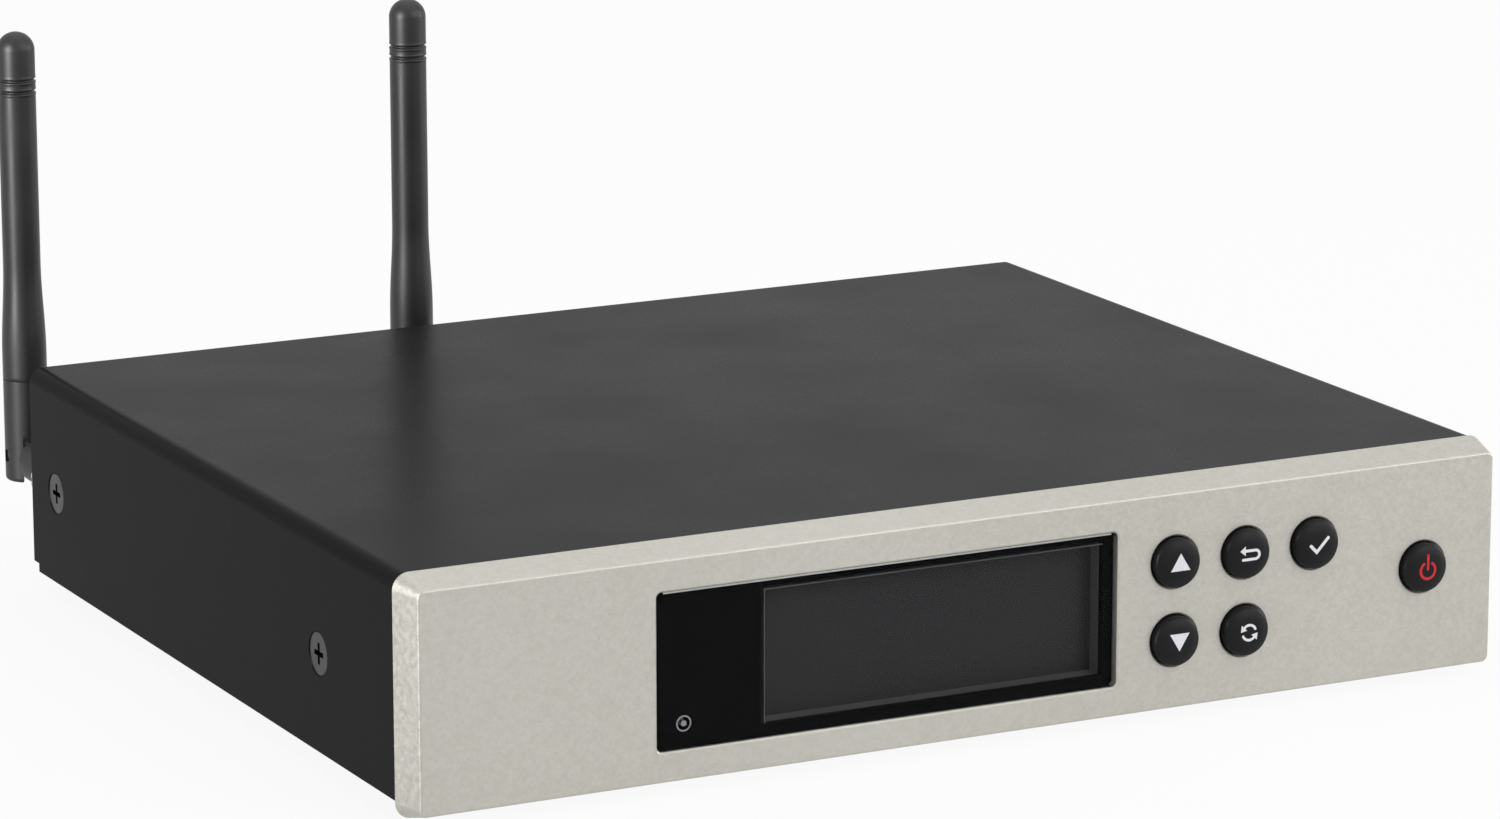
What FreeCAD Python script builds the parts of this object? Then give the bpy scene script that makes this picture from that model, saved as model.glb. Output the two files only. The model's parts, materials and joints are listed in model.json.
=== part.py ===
"""Half-rack wireless microphone receiver with two folding antennas.

The model is built in millimetres. +X points to the right of the front panel, +Y runs from the
front panel into the case, and +Z points up. Every formula below is written in a plain frame whose
Y is 0 on the panel's front face and whose Z is 0 on the surface that the feet stand on. Each
finished piece is then moved along Y by one placement, front_shift, which puts the middle of the
whole object, antennas included, over the origin.
"""
import FreeCAD, Part
import os
import re

import Sketcher
from FreeCAD import Placement, Rotation, Vector

# --------------------------------------------------------------------------------------------
# Driving dimensions, in millimetres. Each one is a cell of the sheet "Sizes".
# --------------------------------------------------------------------------------------------
SIZES = {
    # the case as a whole
    "case_width": 212.0, "panel_height": 42.0, "case_depth": 175.0, "panel_lift": 1.0,
    "foot_height": 4.0, "foot_radius": 6.5, "foot_inset_x": 18.0, "foot_front": 24.0,
    "foot_rear_inset": 17.0, "foot_plug": 2.0, "foot_taper": 0.6, "fit_gap": 0.1, "sheet_gap": 0.2,
    # front panel: a tapered tray whose sides lean in towards the face
    "bevel_depth": 6.5, "bevel_inset": 1.8, "panel_corner": 3.0, "panel_edge": 0.45,
    "panel_face": 2.4, "panel_rim": 1.6, "lip_depth": 5.5, "lip_sheet": 1.0, "lip_inset_x": 6.0,
    "hole_edge": 0.3,
    # sheet-metal cover, tray and rear panel
    "cover_step": 0.3, "cover_sheet": 1.0, "cover_bend": 2.7, "cover_rise": 0.1,
    "cover_notch_depth": 2.5, "cover_notch_height": 1.6,
    "tray_sheet": 1.0, "rear_sheet": 1.2, "rear_flange": 20.0, "rear_top_gap": 0.4,
    # countersunk screws in the sides
    "side_screw_front": 38.7, "side_screw_rear_inset": 12.5, "side_screw_height": 20.4,
    "side_head_radius": 3.7, "side_head_depth": 1.7, "side_shank_radius": 2.0,
    "side_screw_length": 5.0, "side_sink": 0.15, "cross_span": 3.8, "cross_width": 0.9,
    "cross_depth": 1.3,
    # display window, bezel and liquid-crystal module
    "window_left": -60.95, "window_right": 27.38, "window_low": 7.08, "window_high": 34.56,
    "window_corner": 1.0, "window_sink": 0.25, "window_sheet": 1.5,
    "view_left": -40.8, "view_right": 25.5, "view_low": 8.8, "view_high": 32.9,
    "bezel_depth": 4.0, "bezel_flange": 1.5, "glass_margin": 1.8, "glass_sheet": 2.0,
    "backlight_sheet": 3.0, "infrared_x": -55.3, "infrared_z": 11.06, "infrared_radius": 1.5,
    # buttons and the switches they press
    "button_radius": 4.45, "button_proud": 2.0, "button_edge": 0.75, "button_gap": 0.2,
    "button_flange": 1.0, "button_flange_sheet": 1.0, "stem_radius": 1.6, "button_travel": 0.6,
    "keys_left": 38.8, "keys_pitch_x": 14.1, "keys_low": 14.0, "keys_pitch_z": 14.0,
    "power_x": 89.7, "power_z": 21.0,
    "switch_side": 6.2, "switch_depth": 3.9, "switch_bore_depth": 3.2, "stem_reach": 1.8,
    # boards, spacers and small screws
    "board_sheet": 1.6, "front_board_left": -65.0, "front_board_right": 97.6,
    "front_board_low": 7.0, "front_board_high": 38.4, "spacer_radius": 2.1,
    "spacer_left": -62.0, "spacer_right": 95.4, "spacer_low": 12.0, "spacer_high": 34.0,
    "mouth_left": -59.0, "mouth_right": 93.0, "mouth_low": 7.5, "mouth_high": 37.5,
    "panel_screw_x": 100.4, "panel_screw_low": 9.6, "panel_screw_high": 34.4,
    "boss_radius": 2.6, "screw_radius": 1.25, "screw_head": 2.4, "screw_head_high": 1.7,
    "screw_gap": 0.05, "pin_gap": 0.02, "main_board_half": 98.0, "main_board_front": 18.0,
    "main_board_rear_gap": 9.0, "standoff_high": 6.0, "standoff_radius": 3.1,
    "main_screw_x": 91.0, "main_screw_front": 33.0, "main_screw_mid": 86.0,
    "main_screw_rear_inset": 29.0, "screw_length": 5.0,
    # ribbon between the two boards
    "ribbon_left": -22.0, "ribbon_width": 16.0, "ribbon_sheet": 0.4, "ribbon_high": 26.0,
    "ribbon_reach": 24.0, "ribbon_bend": 5.0, "plug_high": 4.0, "plug_deep": 3.0,
    # parts on the main board
    "can_wide": 46.0, "can_deep": 42.0, "can_high": 9.0, "can_sheet": 0.5, "can_rear_inset": 71.0,
    "left_can_x": -84.0, "right_can_x": -32.0, "chip_high": 1.6, "capacitor_radius": 4.0,
    "capacitor_high": 13.0, "transformer_wide": 18.0, "transformer_deep": 14.0,
    "transformer_high": 13.0,
    # antenna sockets
    "left_antenna_x": -94.4, "centre_antenna_x": -13.0, "antenna_z": 18.0,
    "antenna_reach": 33.0, "socket_reach": 9.1, "socket_radius": 4.85, "socket_bore": 4.06,
    "socket_thread": 4.9, "socket_flange": 7.0, "socket_block": 11.6, "socket_block_deep": 12.0,
    "insulator_radius": 2.35, "contact_radius": 0.65, "nut_flats": 12.7, "nut_sheet": 2.4,
    "thread_past_nut": 0.8, "socket_flange_sheet": 2.8,
    "lug_radius": 1.0, "lug_reach": 5.55, "lug_back": 2.3, "cup_start": 0.5,
    # antennas
    "ring_radius": 7.0, "ring_start": 3.8, "ring_length": 9.0, "ring_groove": 5.75,
    "ring_lip": 1.6, "ring_shoulder": 1.6, "ring_rib": 0.35, "plug_collar": 1.4,
    "plug_sleeve": 8.0, "neck_radius": 4.3, "running_gap": 0.06, "neck_end_gap": 6.9,
    "tongue_half": 2.0, "tongue_radius": 3.6, "fork_radius": 4.25, "fork_below": 5.0,
    "fork_top": 33.0, "fork_edge": 0.8, "fork_slot_top": 4.3, "hinge_radius": 1.25,
    "hinge_inset": 0.5, "mast_top": 100.5, "mast_radius": 3.6, "mast_flare_top": 55.5,
    "groove_high": 91.4, "groove_pitch": 2.2, "groove_wide": 0.45, "groove_deep": 0.3,
    "radiator_radius": 1.0, "radiator_low": 26.0, "radiator_top_gap": 9.0,
    # sockets on the rear panel
    "xlr_x": 22.0, "xlr_z": 22.5, "xlr_wide": 26.0, "xlr_tall": 31.0, "xlr_corner": 3.0,
    "xlr_sheet": 2.5, "xlr_body": 11.8, "xlr_cup": 9.5, "xlr_inside": 17.0, "xlr_insert": 3.0,
    "xlr_pin_radius": 1.2, "xlr_pin_side": 4.6, "xlr_pin_up": 1.0, "xlr_pin_down": 4.9,
    "xlr_pin_inset": 2.0, "xlr_screw_x": 9.5, "xlr_screw_z": 12.0,
    "jack_x": 50.0, "jack_z": 22.0, "jack_bore": 3.25, "jack_thread": 5.8, "jack_proud": 4.0,
    "jack_nut_radius": 7.6, "jack_nut_sheet": 2.2, "jack_body": 16.0, "jack_inside": 22.0,
    "data_x": 67.5, "data_wide": 11.0, "data_tall": 11.0, "data_mouth_wide": 8.0,
    "data_mouth_tall": 6.6, "data_inside": 14.0, "data_mouth_deep": 11.0, "data_proud": 0.6,
    "dc_x": 83.5, "dc_wide": 9.4, "dc_tall": 11.0, "dc_bore": 3.2, "dc_inside": 13.0,
    "dc_bore_deep": 10.0, "dc_pin": 1.0, "dc_proud": 0.6,
    "hook_x": 96.0, "hook_wide": 8.0, "hook_low": 27.0, "hook_high": 35.0, "hook_sheet": 1.6,
    "hook_gap": 4.8, "hook_lip": 4.5,
}

# --------------------------------------------------------------------------------------------
# Formulas used in more than one place, written in the names above
# --------------------------------------------------------------------------------------------
HALF = "(case_width / 2)"
PANEL_LOW = "panel_lift"
PANEL_TOP = "(panel_lift + panel_height)"
COVER_HALF = "(case_width / 2 - cover_step)"
COVER_TOP = "(panel_lift + panel_height - cover_step)"
COVER_LOW = "(foot_height + cover_rise)"
CASE_FRONT = "(bevel_depth + sheet_gap)"
TRAY_HALF = "(case_width / 2 - cover_step - cover_sheet - sheet_gap)"
TRAY_TOP = "(panel_lift + panel_height - cover_step - cover_bend - sheet_gap)"
TRAY_FLOOR = "(foot_height + tray_sheet)"
TRAY_BACK = "(bevel_depth + sheet_gap + tray_sheet)"
REAR_HALF = "(case_width / 2 - cover_step - cover_sheet - sheet_gap - tray_sheet - sheet_gap)"
REAR_FRONT = "(case_depth - rear_sheet)"
WINDOW_BACK = "(window_sink + window_sheet)"
BEZEL_BACK = "(window_sink + window_sheet + bezel_depth)"
GLASS_BACK = "(window_sink + window_sheet + bezel_depth + glass_sheet)"
FRONT_BOARD = "(window_sink + window_sheet + bezel_depth + glass_sheet + backlight_sheet)"
FRONT_BOARD_BACK = "(window_sink + window_sheet + bezel_depth + glass_sheet + backlight_sheet" \
                   " + board_sheet)"
MAIN_BOARD = "(foot_height + tray_sheet + standoff_high)"
MAIN_BOARD_TOP = "(foot_height + tray_sheet + standoff_high + board_sheet)"
MAIN_SCREW_REAR = "(case_depth - main_screw_rear_inset)"
MAST_Y = "(case_depth + antenna_reach)"
SOCKET_TIP = "(case_depth + socket_reach)"
NECK_END = "(case_depth + antenna_reach - neck_end_gap)"
FRONT_SHIFT = "-(case_depth + antenna_reach + fork_radius - button_proud) / 2"

BUTTONS = {
    "up_button": ("keys_left", "keys_low + keys_pitch_z"),
    "escape_button": ("keys_left + keys_pitch_x", "keys_low + keys_pitch_z"),
    "set_button": ("keys_left + 2 * keys_pitch_x", "keys_low + keys_pitch_z"),
    "down_button": ("keys_left", "keys_low"),
    "sync_button": ("keys_left + keys_pitch_x", "keys_low"),
    "power_button": ("power_x", "power_z"),
}

doc = FreeCAD.newDocument("receiver")
sheet = doc.addObject("Spreadsheet::Sheet", "Sizes")
for row, (alias, number) in enumerate(SIZES.items(), start=1):
    sheet.set("A%d" % row, alias)
    sheet.set("B%d" % row, str(number))
    sheet.setAlias("B%d" % row, alias)
doc.recompute()

# --------------------------------------------------------------------------------------------
# Small tools for building pieces whose every size is a formula
# --------------------------------------------------------------------------------------------
ALONG = {
    "x": Rotation(Vector(0, 1, 0), 90),
    "y": Rotation(Vector(1, 0, 0), -90),
    "z": Rotation(),
}
finished = []


def sized(formula):
    """Write a formula in plain size names as one that reads the sheet."""
    return re.sub(r"[a-z][a-z0-9_]*",
                  lambda word: "Sizes." + word.group(0) if word.group(0) in SIZES
                  else word.group(0), str(formula))


def bind(thing, **formulas):
    """Tie properties to formulas; a double underscore in a name stands for a dot."""
    for name, formula in formulas.items():
        thing.setExpression(name.replace("__", "."), sized(formula))
    return thing


def put(thing, x, y, z):
    """Tie the three coordinates of a placement to formulas."""
    return bind(thing, Placement__Base__x=x, Placement__Base__y=y, Placement__Base__z=z)


def box(name, x, y, z):
    """A block between two formulas on each axis."""
    block = doc.addObject("Part::Box", name)
    put(block, x[0], y[0], z[0])
    return bind(block, Length="(%s) - (%s)" % (x[1], x[0]), Width="(%s) - (%s)" % (y[1], y[0]),
                Height="(%s) - (%s)" % (z[1], z[0]))


def rod(name, axis, start, radius, length):
    """A round bar that starts at a point and runs along one axis."""
    bar = doc.addObject("Part::Cylinder", name)
    bar.Placement = Placement(Vector(), ALONG[axis])
    put(bar, *start)
    return bind(bar, Radius=radius, Height=length)


def fuse(name, *pieces):
    """One solid from several that touch."""
    whole = doc.addObject("Part::MultiFuse", name)
    whole.Shapes = list(pieces)
    whole.Refine = True
    return whole


def cut(name, base, *tools):
    """A solid with other solids taken out of it."""
    for count, tool in enumerate(tools):
        result = doc.addObject("Part::Cut", "%s_%d" % (name, count))
        result.Base = base
        result.Tool = tool
        base = result
    return base


def finish(label, piece):
    """Name a finished piece and give it the common placement along Y."""
    if isinstance(piece, (list, tuple)):
        group = doc.addObject("Part::Compound", label + "_group")
        group.Links = list(piece)
        piece = group
    piece.Label = label
    bind(piece, Placement__Base__y=FRONT_SHIFT)
    finished.append(piece)
    return piece


def body(label):
    """An empty PartDesign body with the common placement."""
    return finish(label, doc.addObject("PartDesign::Body", label + "_body"))


def sketch(owner, name, role, base=("0", "0", "0")):
    """A sketch on one of the body's own origin planes, moved by three formulas."""
    drawing = owner.newObject("Sketcher::SketchObject", name)
    plane = [item for item in owner.Origin.OriginFeatures if item.Role == role][0]
    drawing.AttachmentSupport = (plane, [""])
    drawing.MapMode = "FlatFace"
    return bind(drawing, AttachmentOffset__Base__x=base[0], AttachmentOffset__Base__y=base[1],
                AttachmentOffset__Base__z=base[2])


def polygon(drawing, corners):
    """A closed outline; each corner is held by its two distances from the sketch's origin."""
    first = drawing.GeometryCount
    total = len(corners)
    start = []
    for number in range(total):
        turn = Rotation(Vector(0, 0, 1), 360.0 * number / total)
        start.append(turn.multVec(Vector(10, 0, 0)))
    for number in range(total):
        drawing.addGeometry(Part.LineSegment(start[number], start[(number + 1) % total]), False)
    for number in range(total):
        following = first + (number + 1) % total
        drawing.addConstraint(Sketcher.Constraint("Coincident", first + number, 2, following, 1))
    for number, (across, up) in enumerate(corners):
        for kind, formula, guess in (("DistanceX", across, start[number].x),
                                     ("DistanceY", up, start[number].y)):
            mark = drawing.addConstraint(
                Sketcher.Constraint(kind, -1, 1, first + number, 1, guess))
            drawing.setExpression("Constraints[%d]" % mark, sized(formula))
    return drawing


def rectangle(drawing, left, right, low, high):
    """A closed rectangle between four formulas."""
    return polygon(drawing, [(left, low), (right, low), (right, high), (left, high)])


def circle(drawing, across, up, radius):
    """A circle held by its centre and radius."""
    number = drawing.addGeometry(Part.Circle(Vector(3, 4, 0), Vector(0, 0, 1), 2), False)
    for kind, formula, guess in (("DistanceX", across, 3), ("DistanceY", up, 4)):
        mark = drawing.addConstraint(Sketcher.Constraint(kind, -1, 1, number, 3, guess))
        drawing.setExpression("Constraints[%d]" % mark, sized(formula))
    mark = drawing.addConstraint(Sketcher.Constraint("Radius", number, 2))
    drawing.setExpression("Constraints[%d]" % mark, sized(radius))
    return drawing


def raised(owner, name, drawing, length, backwards=False, taper=None):
    """Pad a sketch along its normal, or against it."""
    feature = owner.newObject("PartDesign::Pad", name)
    feature.Profile = drawing
    feature.Reversed = backwards
    bind(feature, Length=length)
    if taper:
        bind(feature, TaperAngle=taper)
    return feature


def sunk(owner, name, drawing, length, backwards=False):
    """Pocket a sketch, and refuse one that removes nothing."""
    doc.recompute()
    before = owner.Shape.Volume
    feature = owner.newObject("PartDesign::Pocket", name)
    feature.Profile = drawing
    feature.Reversed = backwards
    bind(feature, Length=length)
    doc.recompute()
    if owner.Shape.Volume > before - 1e-6:
        raise RuntimeError("%s cuts nothing" % name)
    return feature


def eased(owner, name, radius, choose, kind="PartDesign::Fillet"):
    """Round or chamfer the edges of the body's last feature that the test picks."""
    doc.recompute()
    base = owner.Tip
    picked = ["Edge%d" % (number + 1) for number, edge in enumerate(base.Shape.Edges)
              if choose(edge)]
    if not picked:
        raise RuntimeError("%s finds no edge" % name)
    feature = owner.newObject(kind, name)
    feature.Base = (base, picked)
    bind(feature, **{"Radius" if kind.endswith("Fillet") else "Size": radius})
    return feature


def size_of(name):
    """A driving dimension as the sheet holds it."""
    return float(sheet.get(name))


def runs_along(edge, axis):
    """True for a straight edge parallel to one axis."""
    return edge.Curve.TypeId == "Part::GeomLine" and \
        abs(edge.tangentAt(edge.FirstParameter).dot(axis)) > 0.999


def round_edge_at(edge, axis, height, radius):
    """True for a circular edge of one radius at one height on an axis."""
    return edge.Curve.TypeId == "Part::GeomCircle" and \
        abs(edge.Curve.Radius - radius) < 1e-4 and abs(edge.Curve.Center.dot(axis) - height) < 1e-4


def turned_along_y(owner, name, x, z, profile):
    """Turn a profile of (radius, depth) corners about a line parallel to Y."""
    drawing = polygon(sketch(owner, name + "_profile", "XY_Plane", (x, "0", z)), profile)
    feature = owner.newObject("PartDesign::Revolution", name)
    feature.Profile = drawing
    feature.ReferenceAxis = (drawing, ["V_Axis"])
    feature.Angle = 360
    return feature


def turned_along_z(owner, name, x, y, profile):
    """Turn a profile of (radius, height) corners about a line parallel to Z."""
    drawing = polygon(sketch(owner, name + "_profile", "XZ_Plane", (x, "0", "-(%s)" % y)), profile)
    feature = owner.newObject("PartDesign::Revolution", name)
    feature.Profile = drawing
    feature.ReferenceAxis = (drawing, ["V_Axis"])
    feature.Angle = 360
    return feature


def small_screw(name, axis, seat, grip):
    """A pan-headed screw whose head stands on a seat; grip is the shank's length under it."""
    x, y, z = seat
    under = {"y": (x, "(%s) - (%s)" % (y, grip), z), "z": (x, y, "(%s) - (%s)" % (z, grip))}[axis]
    shank = rod(name + "_shank", axis, under, "screw_radius", grip)
    head = rod(name + "_head", axis, seat, "screw_head", "screw_head_high")
    span = "screw_head * 0.55"
    floor = "screw_head_high * 0.45"
    slots = []
    for turn in range(2):
        long_side = (span, "cross_width / 2")[turn]
        short_side = ("cross_width / 2", span)[turn]
        if axis == "y":
            slots.append(box("%s_slot%d" % (name, turn),
                             ("%s - %s" % (x, long_side), "%s + %s" % (x, long_side)),
                             ("%s + %s" % (y, floor), "%s + screw_head_high + 1" % y),
                             ("%s - %s" % (z, short_side), "%s + %s" % (z, short_side))))
        else:
            slots.append(box("%s_slot%d" % (name, turn),
                             ("%s - %s" % (x, long_side), "%s + %s" % (x, long_side)),
                             ("%s - %s" % (y, short_side), "%s + %s" % (y, short_side)),
                             ("%s + %s" % (z, floor), "%s + screw_head_high + 1" % z)))
    return cut(name, fuse(name + "_blank", shank, head), *slots)


X_AXIS = Vector(1, 0, 0)
Y_AXIS = Vector(0, 1, 0)
Z_AXIS = Vector(0, 0, 1)


# --------------------------------------------------------------------------------------------
# Front panel
# --------------------------------------------------------------------------------------------
def rounded_outline(drawing):
    """The panel's back outline: a rectangle with four equal round corners."""
    wide, tall, corner = 10.0, 6.0, 1.0
    lines = [((-wide + corner, -tall), (wide - corner, -tall)),
             ((wide, -tall + corner), (wide, tall - corner)),
             ((wide - corner, tall), (-wide + corner, tall)),
             ((-wide, tall - corner), (-wide, -tall + corner))]
    for start, end in lines:
        drawing.addGeometry(Part.LineSegment(Vector(*start, 0), Vector(*end, 0)), False)
    centres = [(1, -1), (1, 1), (-1, 1), (-1, -1)]
    for number, (side, level) in enumerate(centres):
        middle = Vector(side * (wide - corner), level * (tall - corner), 0)
        ring = Part.Circle(middle, Vector(0, 0, 1), corner)
        start = (number - 1) * 1.5707963267948966
        drawing.addGeometry(Part.ArcOfCircle(ring, start, start + 1.5707963267948966), False)
    for number in range(4):
        drawing.addConstraint(Sketcher.Constraint("Tangent", number, 2, 4 + number, 1))
        following = (number + 1) % 4
        drawing.addConstraint(Sketcher.Constraint("Tangent", 4 + number, 2, following, 1))
    for number, kind in enumerate(("Horizontal", "Vertical", "Horizontal", "Vertical")):
        drawing.addConstraint(Sketcher.Constraint(kind, number))
    for number in (5, 6, 7):
        drawing.addConstraint(Sketcher.Constraint("Equal", 4, number))
    held = (
        (Sketcher.Constraint("Radius", 4, corner), "panel_corner"),
        (Sketcher.Constraint("DistanceX", -1, 1, 1, 1, wide), HALF),
        (Sketcher.Constraint("DistanceX", -1, 1, 3, 1, -wide), "-" + HALF),
        (Sketcher.Constraint("DistanceY", -1, 1, 0, 1, -tall), PANEL_LOW),
        (Sketcher.Constraint("DistanceY", -1, 1, 2, 1, tall), PANEL_TOP),
    )
    for constraint, formula in held:
        mark = drawing.addConstraint(constraint)
        drawing.setExpression("Constraints[%d]" % mark, sized(formula))
    return drawing


def front_panel():
    """Cast panel: leaning sides, a deep pocket behind the face, bosses and a bottom lip."""
    panel = body("front_panel")
    outline = rounded_outline(sketch(panel, "back_outline", "XZ_Plane", ("0", "0", "-bevel_depth")))
    raised(panel, "slab", outline, "bevel_depth", taper="-atan(bevel_inset / bevel_depth)")
    eased(panel, "soft_front_edge", "panel_edge",
          lambda edge: edge.BoundBox.YMax < 1e-4)
    hollow = sketch(panel, "hollow_outline", "XZ_Plane", ("0", "0", "-bevel_depth"))
    margin = "bevel_inset + panel_rim"
    rectangle(hollow, "-%s + %s" % (HALF, margin), "%s - (%s)" % (HALF, margin),
              "%s + %s" % (PANEL_LOW, margin), "%s - (%s)" % (PANEL_TOP, margin))
    sunk(panel, "hollow", hollow, "bevel_depth - panel_face", backwards=True)
    posts = sketch(panel, "post_outline", "XZ_Plane", ("0", "0", "-bevel_depth"))
    for side in ("-", ""):
        for level in ("panel_screw_low", "panel_screw_high"):
            circle(posts, side + "panel_screw_x", level, "boss_radius")
    raised(panel, "posts", posts, "bevel_depth - panel_face / 2")
    lip = sketch(panel, "lip_outline", "XZ_Plane", ("0", "0", "-bevel_depth + 1"))
    rectangle(lip, "-%s + lip_inset_x" % HALF, "%s - lip_inset_x" % HALF,
              "foot_height - sheet_gap - lip_sheet", "foot_height - sheet_gap")
    raised(panel, "lip", lip, "lip_depth + 1", backwards=True)
    window = sketch(panel, "window_outline", "XZ_Plane", ("0", "0", "1"))
    rectangle(window, "window_left - fit_gap", "window_right + fit_gap",
              "panel_lift + window_low - fit_gap", "panel_lift + window_high + fit_gap")
    sunk(panel, "window_opening", window, "panel_face + 2")
    keys = sketch(panel, "key_holes_outline", "XZ_Plane", ("0", "0", "1"))
    for x, z in BUTTONS.values():
        circle(keys, x, "panel_lift + " + z, "button_radius + button_gap")
    sunk(panel, "key_holes", keys, "panel_face + 2")
    threads = sketch(panel, "thread_outline", "XZ_Plane", ("0", "0", "-bevel_depth - 1"))
    for side in ("-", ""):
        for level in ("panel_screw_low", "panel_screw_high"):
            circle(threads, side + "panel_screw_x", level, "screw_radius + screw_gap")
    sunk(panel, "threads", threads, "bevel_depth + 1 - panel_face * 0.7", backwards=True)
    left = size_of("window_left") - size_of("fit_gap") - 0.01
    right = size_of("window_right") + size_of("fit_gap") + 0.01
    eased(panel, "window_corners", "window_corner",
          lambda edge: runs_along(edge, Y_AXIS) and left < edge.BoundBox.XMin
          and edge.BoundBox.XMax < right and edge.BoundBox.YMin < 0.01)
    half = size_of("case_width") / 2 - size_of("bevel_inset") - 2 * size_of("panel_edge")
    eased(panel, "hole_edges", "hole_edge",
          lambda edge: edge.BoundBox.YMax < 1e-4 and edge.BoundBox.XLength < 1.5 * half
          and abs(edge.BoundBox.Center.x) < half - 5 and
          (edge.BoundBox.XLength > 0.5 or edge.BoundBox.ZLength > 0.5),
          kind="PartDesign::Chamfer")
    return panel


# --------------------------------------------------------------------------------------------
# Sheet-metal case: cover, tray, rear panel, and the screws and feet that go with them
# --------------------------------------------------------------------------------------------
SIDE_Z = "(panel_lift + side_screw_height)"
SIDE_REAR = "(case_depth - side_screw_rear_inset)"
CONE_SLOPE = "((side_head_radius - side_shank_radius) / side_head_depth)"
SINK_RADIUS = "(side_head_radius + fit_gap + side_sink * %s)" % CONE_SLOPE


def side_holes(owner, name, face, radius, depth, taper=None, rear_only=False):
    """Holes for the side screws, sunk from both side faces of a piece towards its middle."""
    for side, label in (("", "right"), ("-", "left")):
        drawing = sketch(owner, "%s_%s_outline" % (name, label), "YZ_Plane",
                         ("0", "0", side + face))
        if not rear_only:
            circle(drawing, "side_screw_front", SIDE_Z, radius)
        circle(drawing, SIDE_REAR, SIDE_Z, radius)
        hole = sunk(owner, "%s_%s" % (name, label), drawing, depth, backwards=bool(side))
        if taper:
            bind(hole, TaperAngle=taper)


def top_cover():
    """A sheet bent into a top and two sides, countersunk for the side screws."""
    cover = body("top_cover")
    inner = "(%s - cover_sheet)" % COVER_HALF
    under = "(%s - cover_sheet)" % COVER_TOP
    outline = sketch(cover, "cover_outline", "XZ_Plane", ("0", "0", "-case_depth"))
    polygon(outline, [("-" + COVER_HALF, COVER_LOW), ("-" + inner, COVER_LOW),
                      ("-" + inner, under), (inner, under), (inner, COVER_LOW),
                      (COVER_HALF, COVER_LOW), (COVER_HALF, COVER_TOP),
                      ("-" + COVER_HALF, COVER_TOP)])
    raised(cover, "cover_bend_up", outline, "case_depth - %s" % CASE_FRONT)
    top = size_of("panel_lift") + size_of("panel_height") - size_of("cover_step")
    eased(cover, "outer_bends", "cover_bend",
          lambda edge: runs_along(edge, Y_AXIS) and edge.BoundBox.ZMin > top - 1e-3)
    inside = top - size_of("cover_sheet")
    eased(cover, "inner_bends", "cover_bend - cover_sheet",
          lambda edge: runs_along(edge, Y_AXIS) and abs(edge.BoundBox.ZMin - inside) < 1e-3
          and edge.BoundBox.ZLength < 1e-3 and abs(edge.BoundBox.XMin) > 0.9 * size_of("case_width")
          / 2)
    side_holes(cover, "countersink", COVER_HALF, SINK_RADIUS, "side_head_depth",
               taper="-atan(%s)" % CONE_SLOPE)
    notch = sketch(cover, "notch_outline", "YZ_Plane", ("0", "0", COVER_HALF + " + 1"))
    rectangle(notch, "case_depth - cover_notch_depth", "case_depth + 1", COVER_LOW + " - 1",
              COVER_LOW + " + cover_notch_height")
    sunk(cover, "rear_notches", notch, "2 * %s + 2" % COVER_HALF)


def bottom_tray():
    """A folded tray: floor, two sides, and a front wall with one wide mouth."""
    tray = body("bottom_tray")
    outline = sketch(tray, "tray_outline", "XY_Plane", ("0", "0", "foot_height"))
    rectangle(outline, "-" + TRAY_HALF, TRAY_HALF, CASE_FRONT, "case_depth")
    raised(tray, "tray_block", outline, "%s - foot_height" % TRAY_TOP)
    hollow = sketch(tray, "tray_hollow_outline", "XY_Plane", ("0", "0", TRAY_TOP))
    rectangle(hollow, "-%s + tray_sheet" % TRAY_HALF, "%s - tray_sheet" % TRAY_HALF, TRAY_BACK,
              "case_depth + 1")
    sunk(tray, "tray_hollow", hollow, "%s - %s" % (TRAY_TOP, TRAY_FLOOR))
    mouth = sketch(tray, "mouth_outline", "XZ_Plane")
    rectangle(mouth, "mouth_left", "mouth_right", "mouth_low", "mouth_high")
    sunk(tray, "mouth", mouth, TRAY_BACK + " + 1")
    fixing = sketch(tray, "panel_hole_outline", "XZ_Plane")
    for side in ("-", ""):
        for level in ("panel_screw_low", "panel_screw_high"):
            circle(fixing, side + "panel_screw_x", level, "screw_radius + fit_gap")
    sunk(tray, "panel_holes", fixing, TRAY_BACK + " + 1")
    plugs = sketch(tray, "foot_hole_outline", "XY_Plane", ("0", "0", TRAY_FLOOR + " + 1"))
    for x, y in foot_places():
        circle(plugs, x, y, "foot_plug + screw_gap")
    sunk(tray, "foot_holes", plugs, "tray_sheet + 2")
    depth = "(cover_sheet + sheet_gap)"
    side_holes(tray, "side_cone", TRAY_HALF, "%s - %s * %s" % (SINK_RADIUS, depth, CONE_SLOPE),
               "side_head_depth + side_sink - " + depth, taper="-atan(%s)" % CONE_SLOPE)
    side_holes(tray, "side_shank", TRAY_HALF, "side_shank_radius + fit_gap", "tray_sheet + 1")


def foot_places():
    """Where the four feet stand, as formulas."""
    return [("%s(%s - foot_inset_x)" % (side, HALF), y)
            for side in ("-", "") for y in ("foot_front", "case_depth - foot_rear_inset")]


def rubber_feet():
    """Four turned feet, each with a plug that snaps through the tray's floor."""
    feet = []
    for number, (x, y) in enumerate(foot_places()):
        foot = doc.addObject("PartDesign::Body", "foot_%d" % number)
        turned_along_z(foot, "foot_turn_%d" % number, x, y, [
            ("0", "0"), ("foot_radius - foot_taper", "0"), ("foot_radius", "foot_height * 0.6"),
            ("foot_radius", "foot_height"), ("foot_plug", "foot_height"),
            ("foot_plug", TRAY_FLOOR + " + 0.6"), ("0", TRAY_FLOOR + " + 0.6")])
        low = size_of("foot_radius") - size_of("foot_taper")
        eased(foot, "foot_edge_%d" % number, "foot_taper",
              lambda edge: round_edge_at(edge, Z_AXIS, 0.0, low))
        feet.append(foot)
    finish("rubber_feet", feet)


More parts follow.
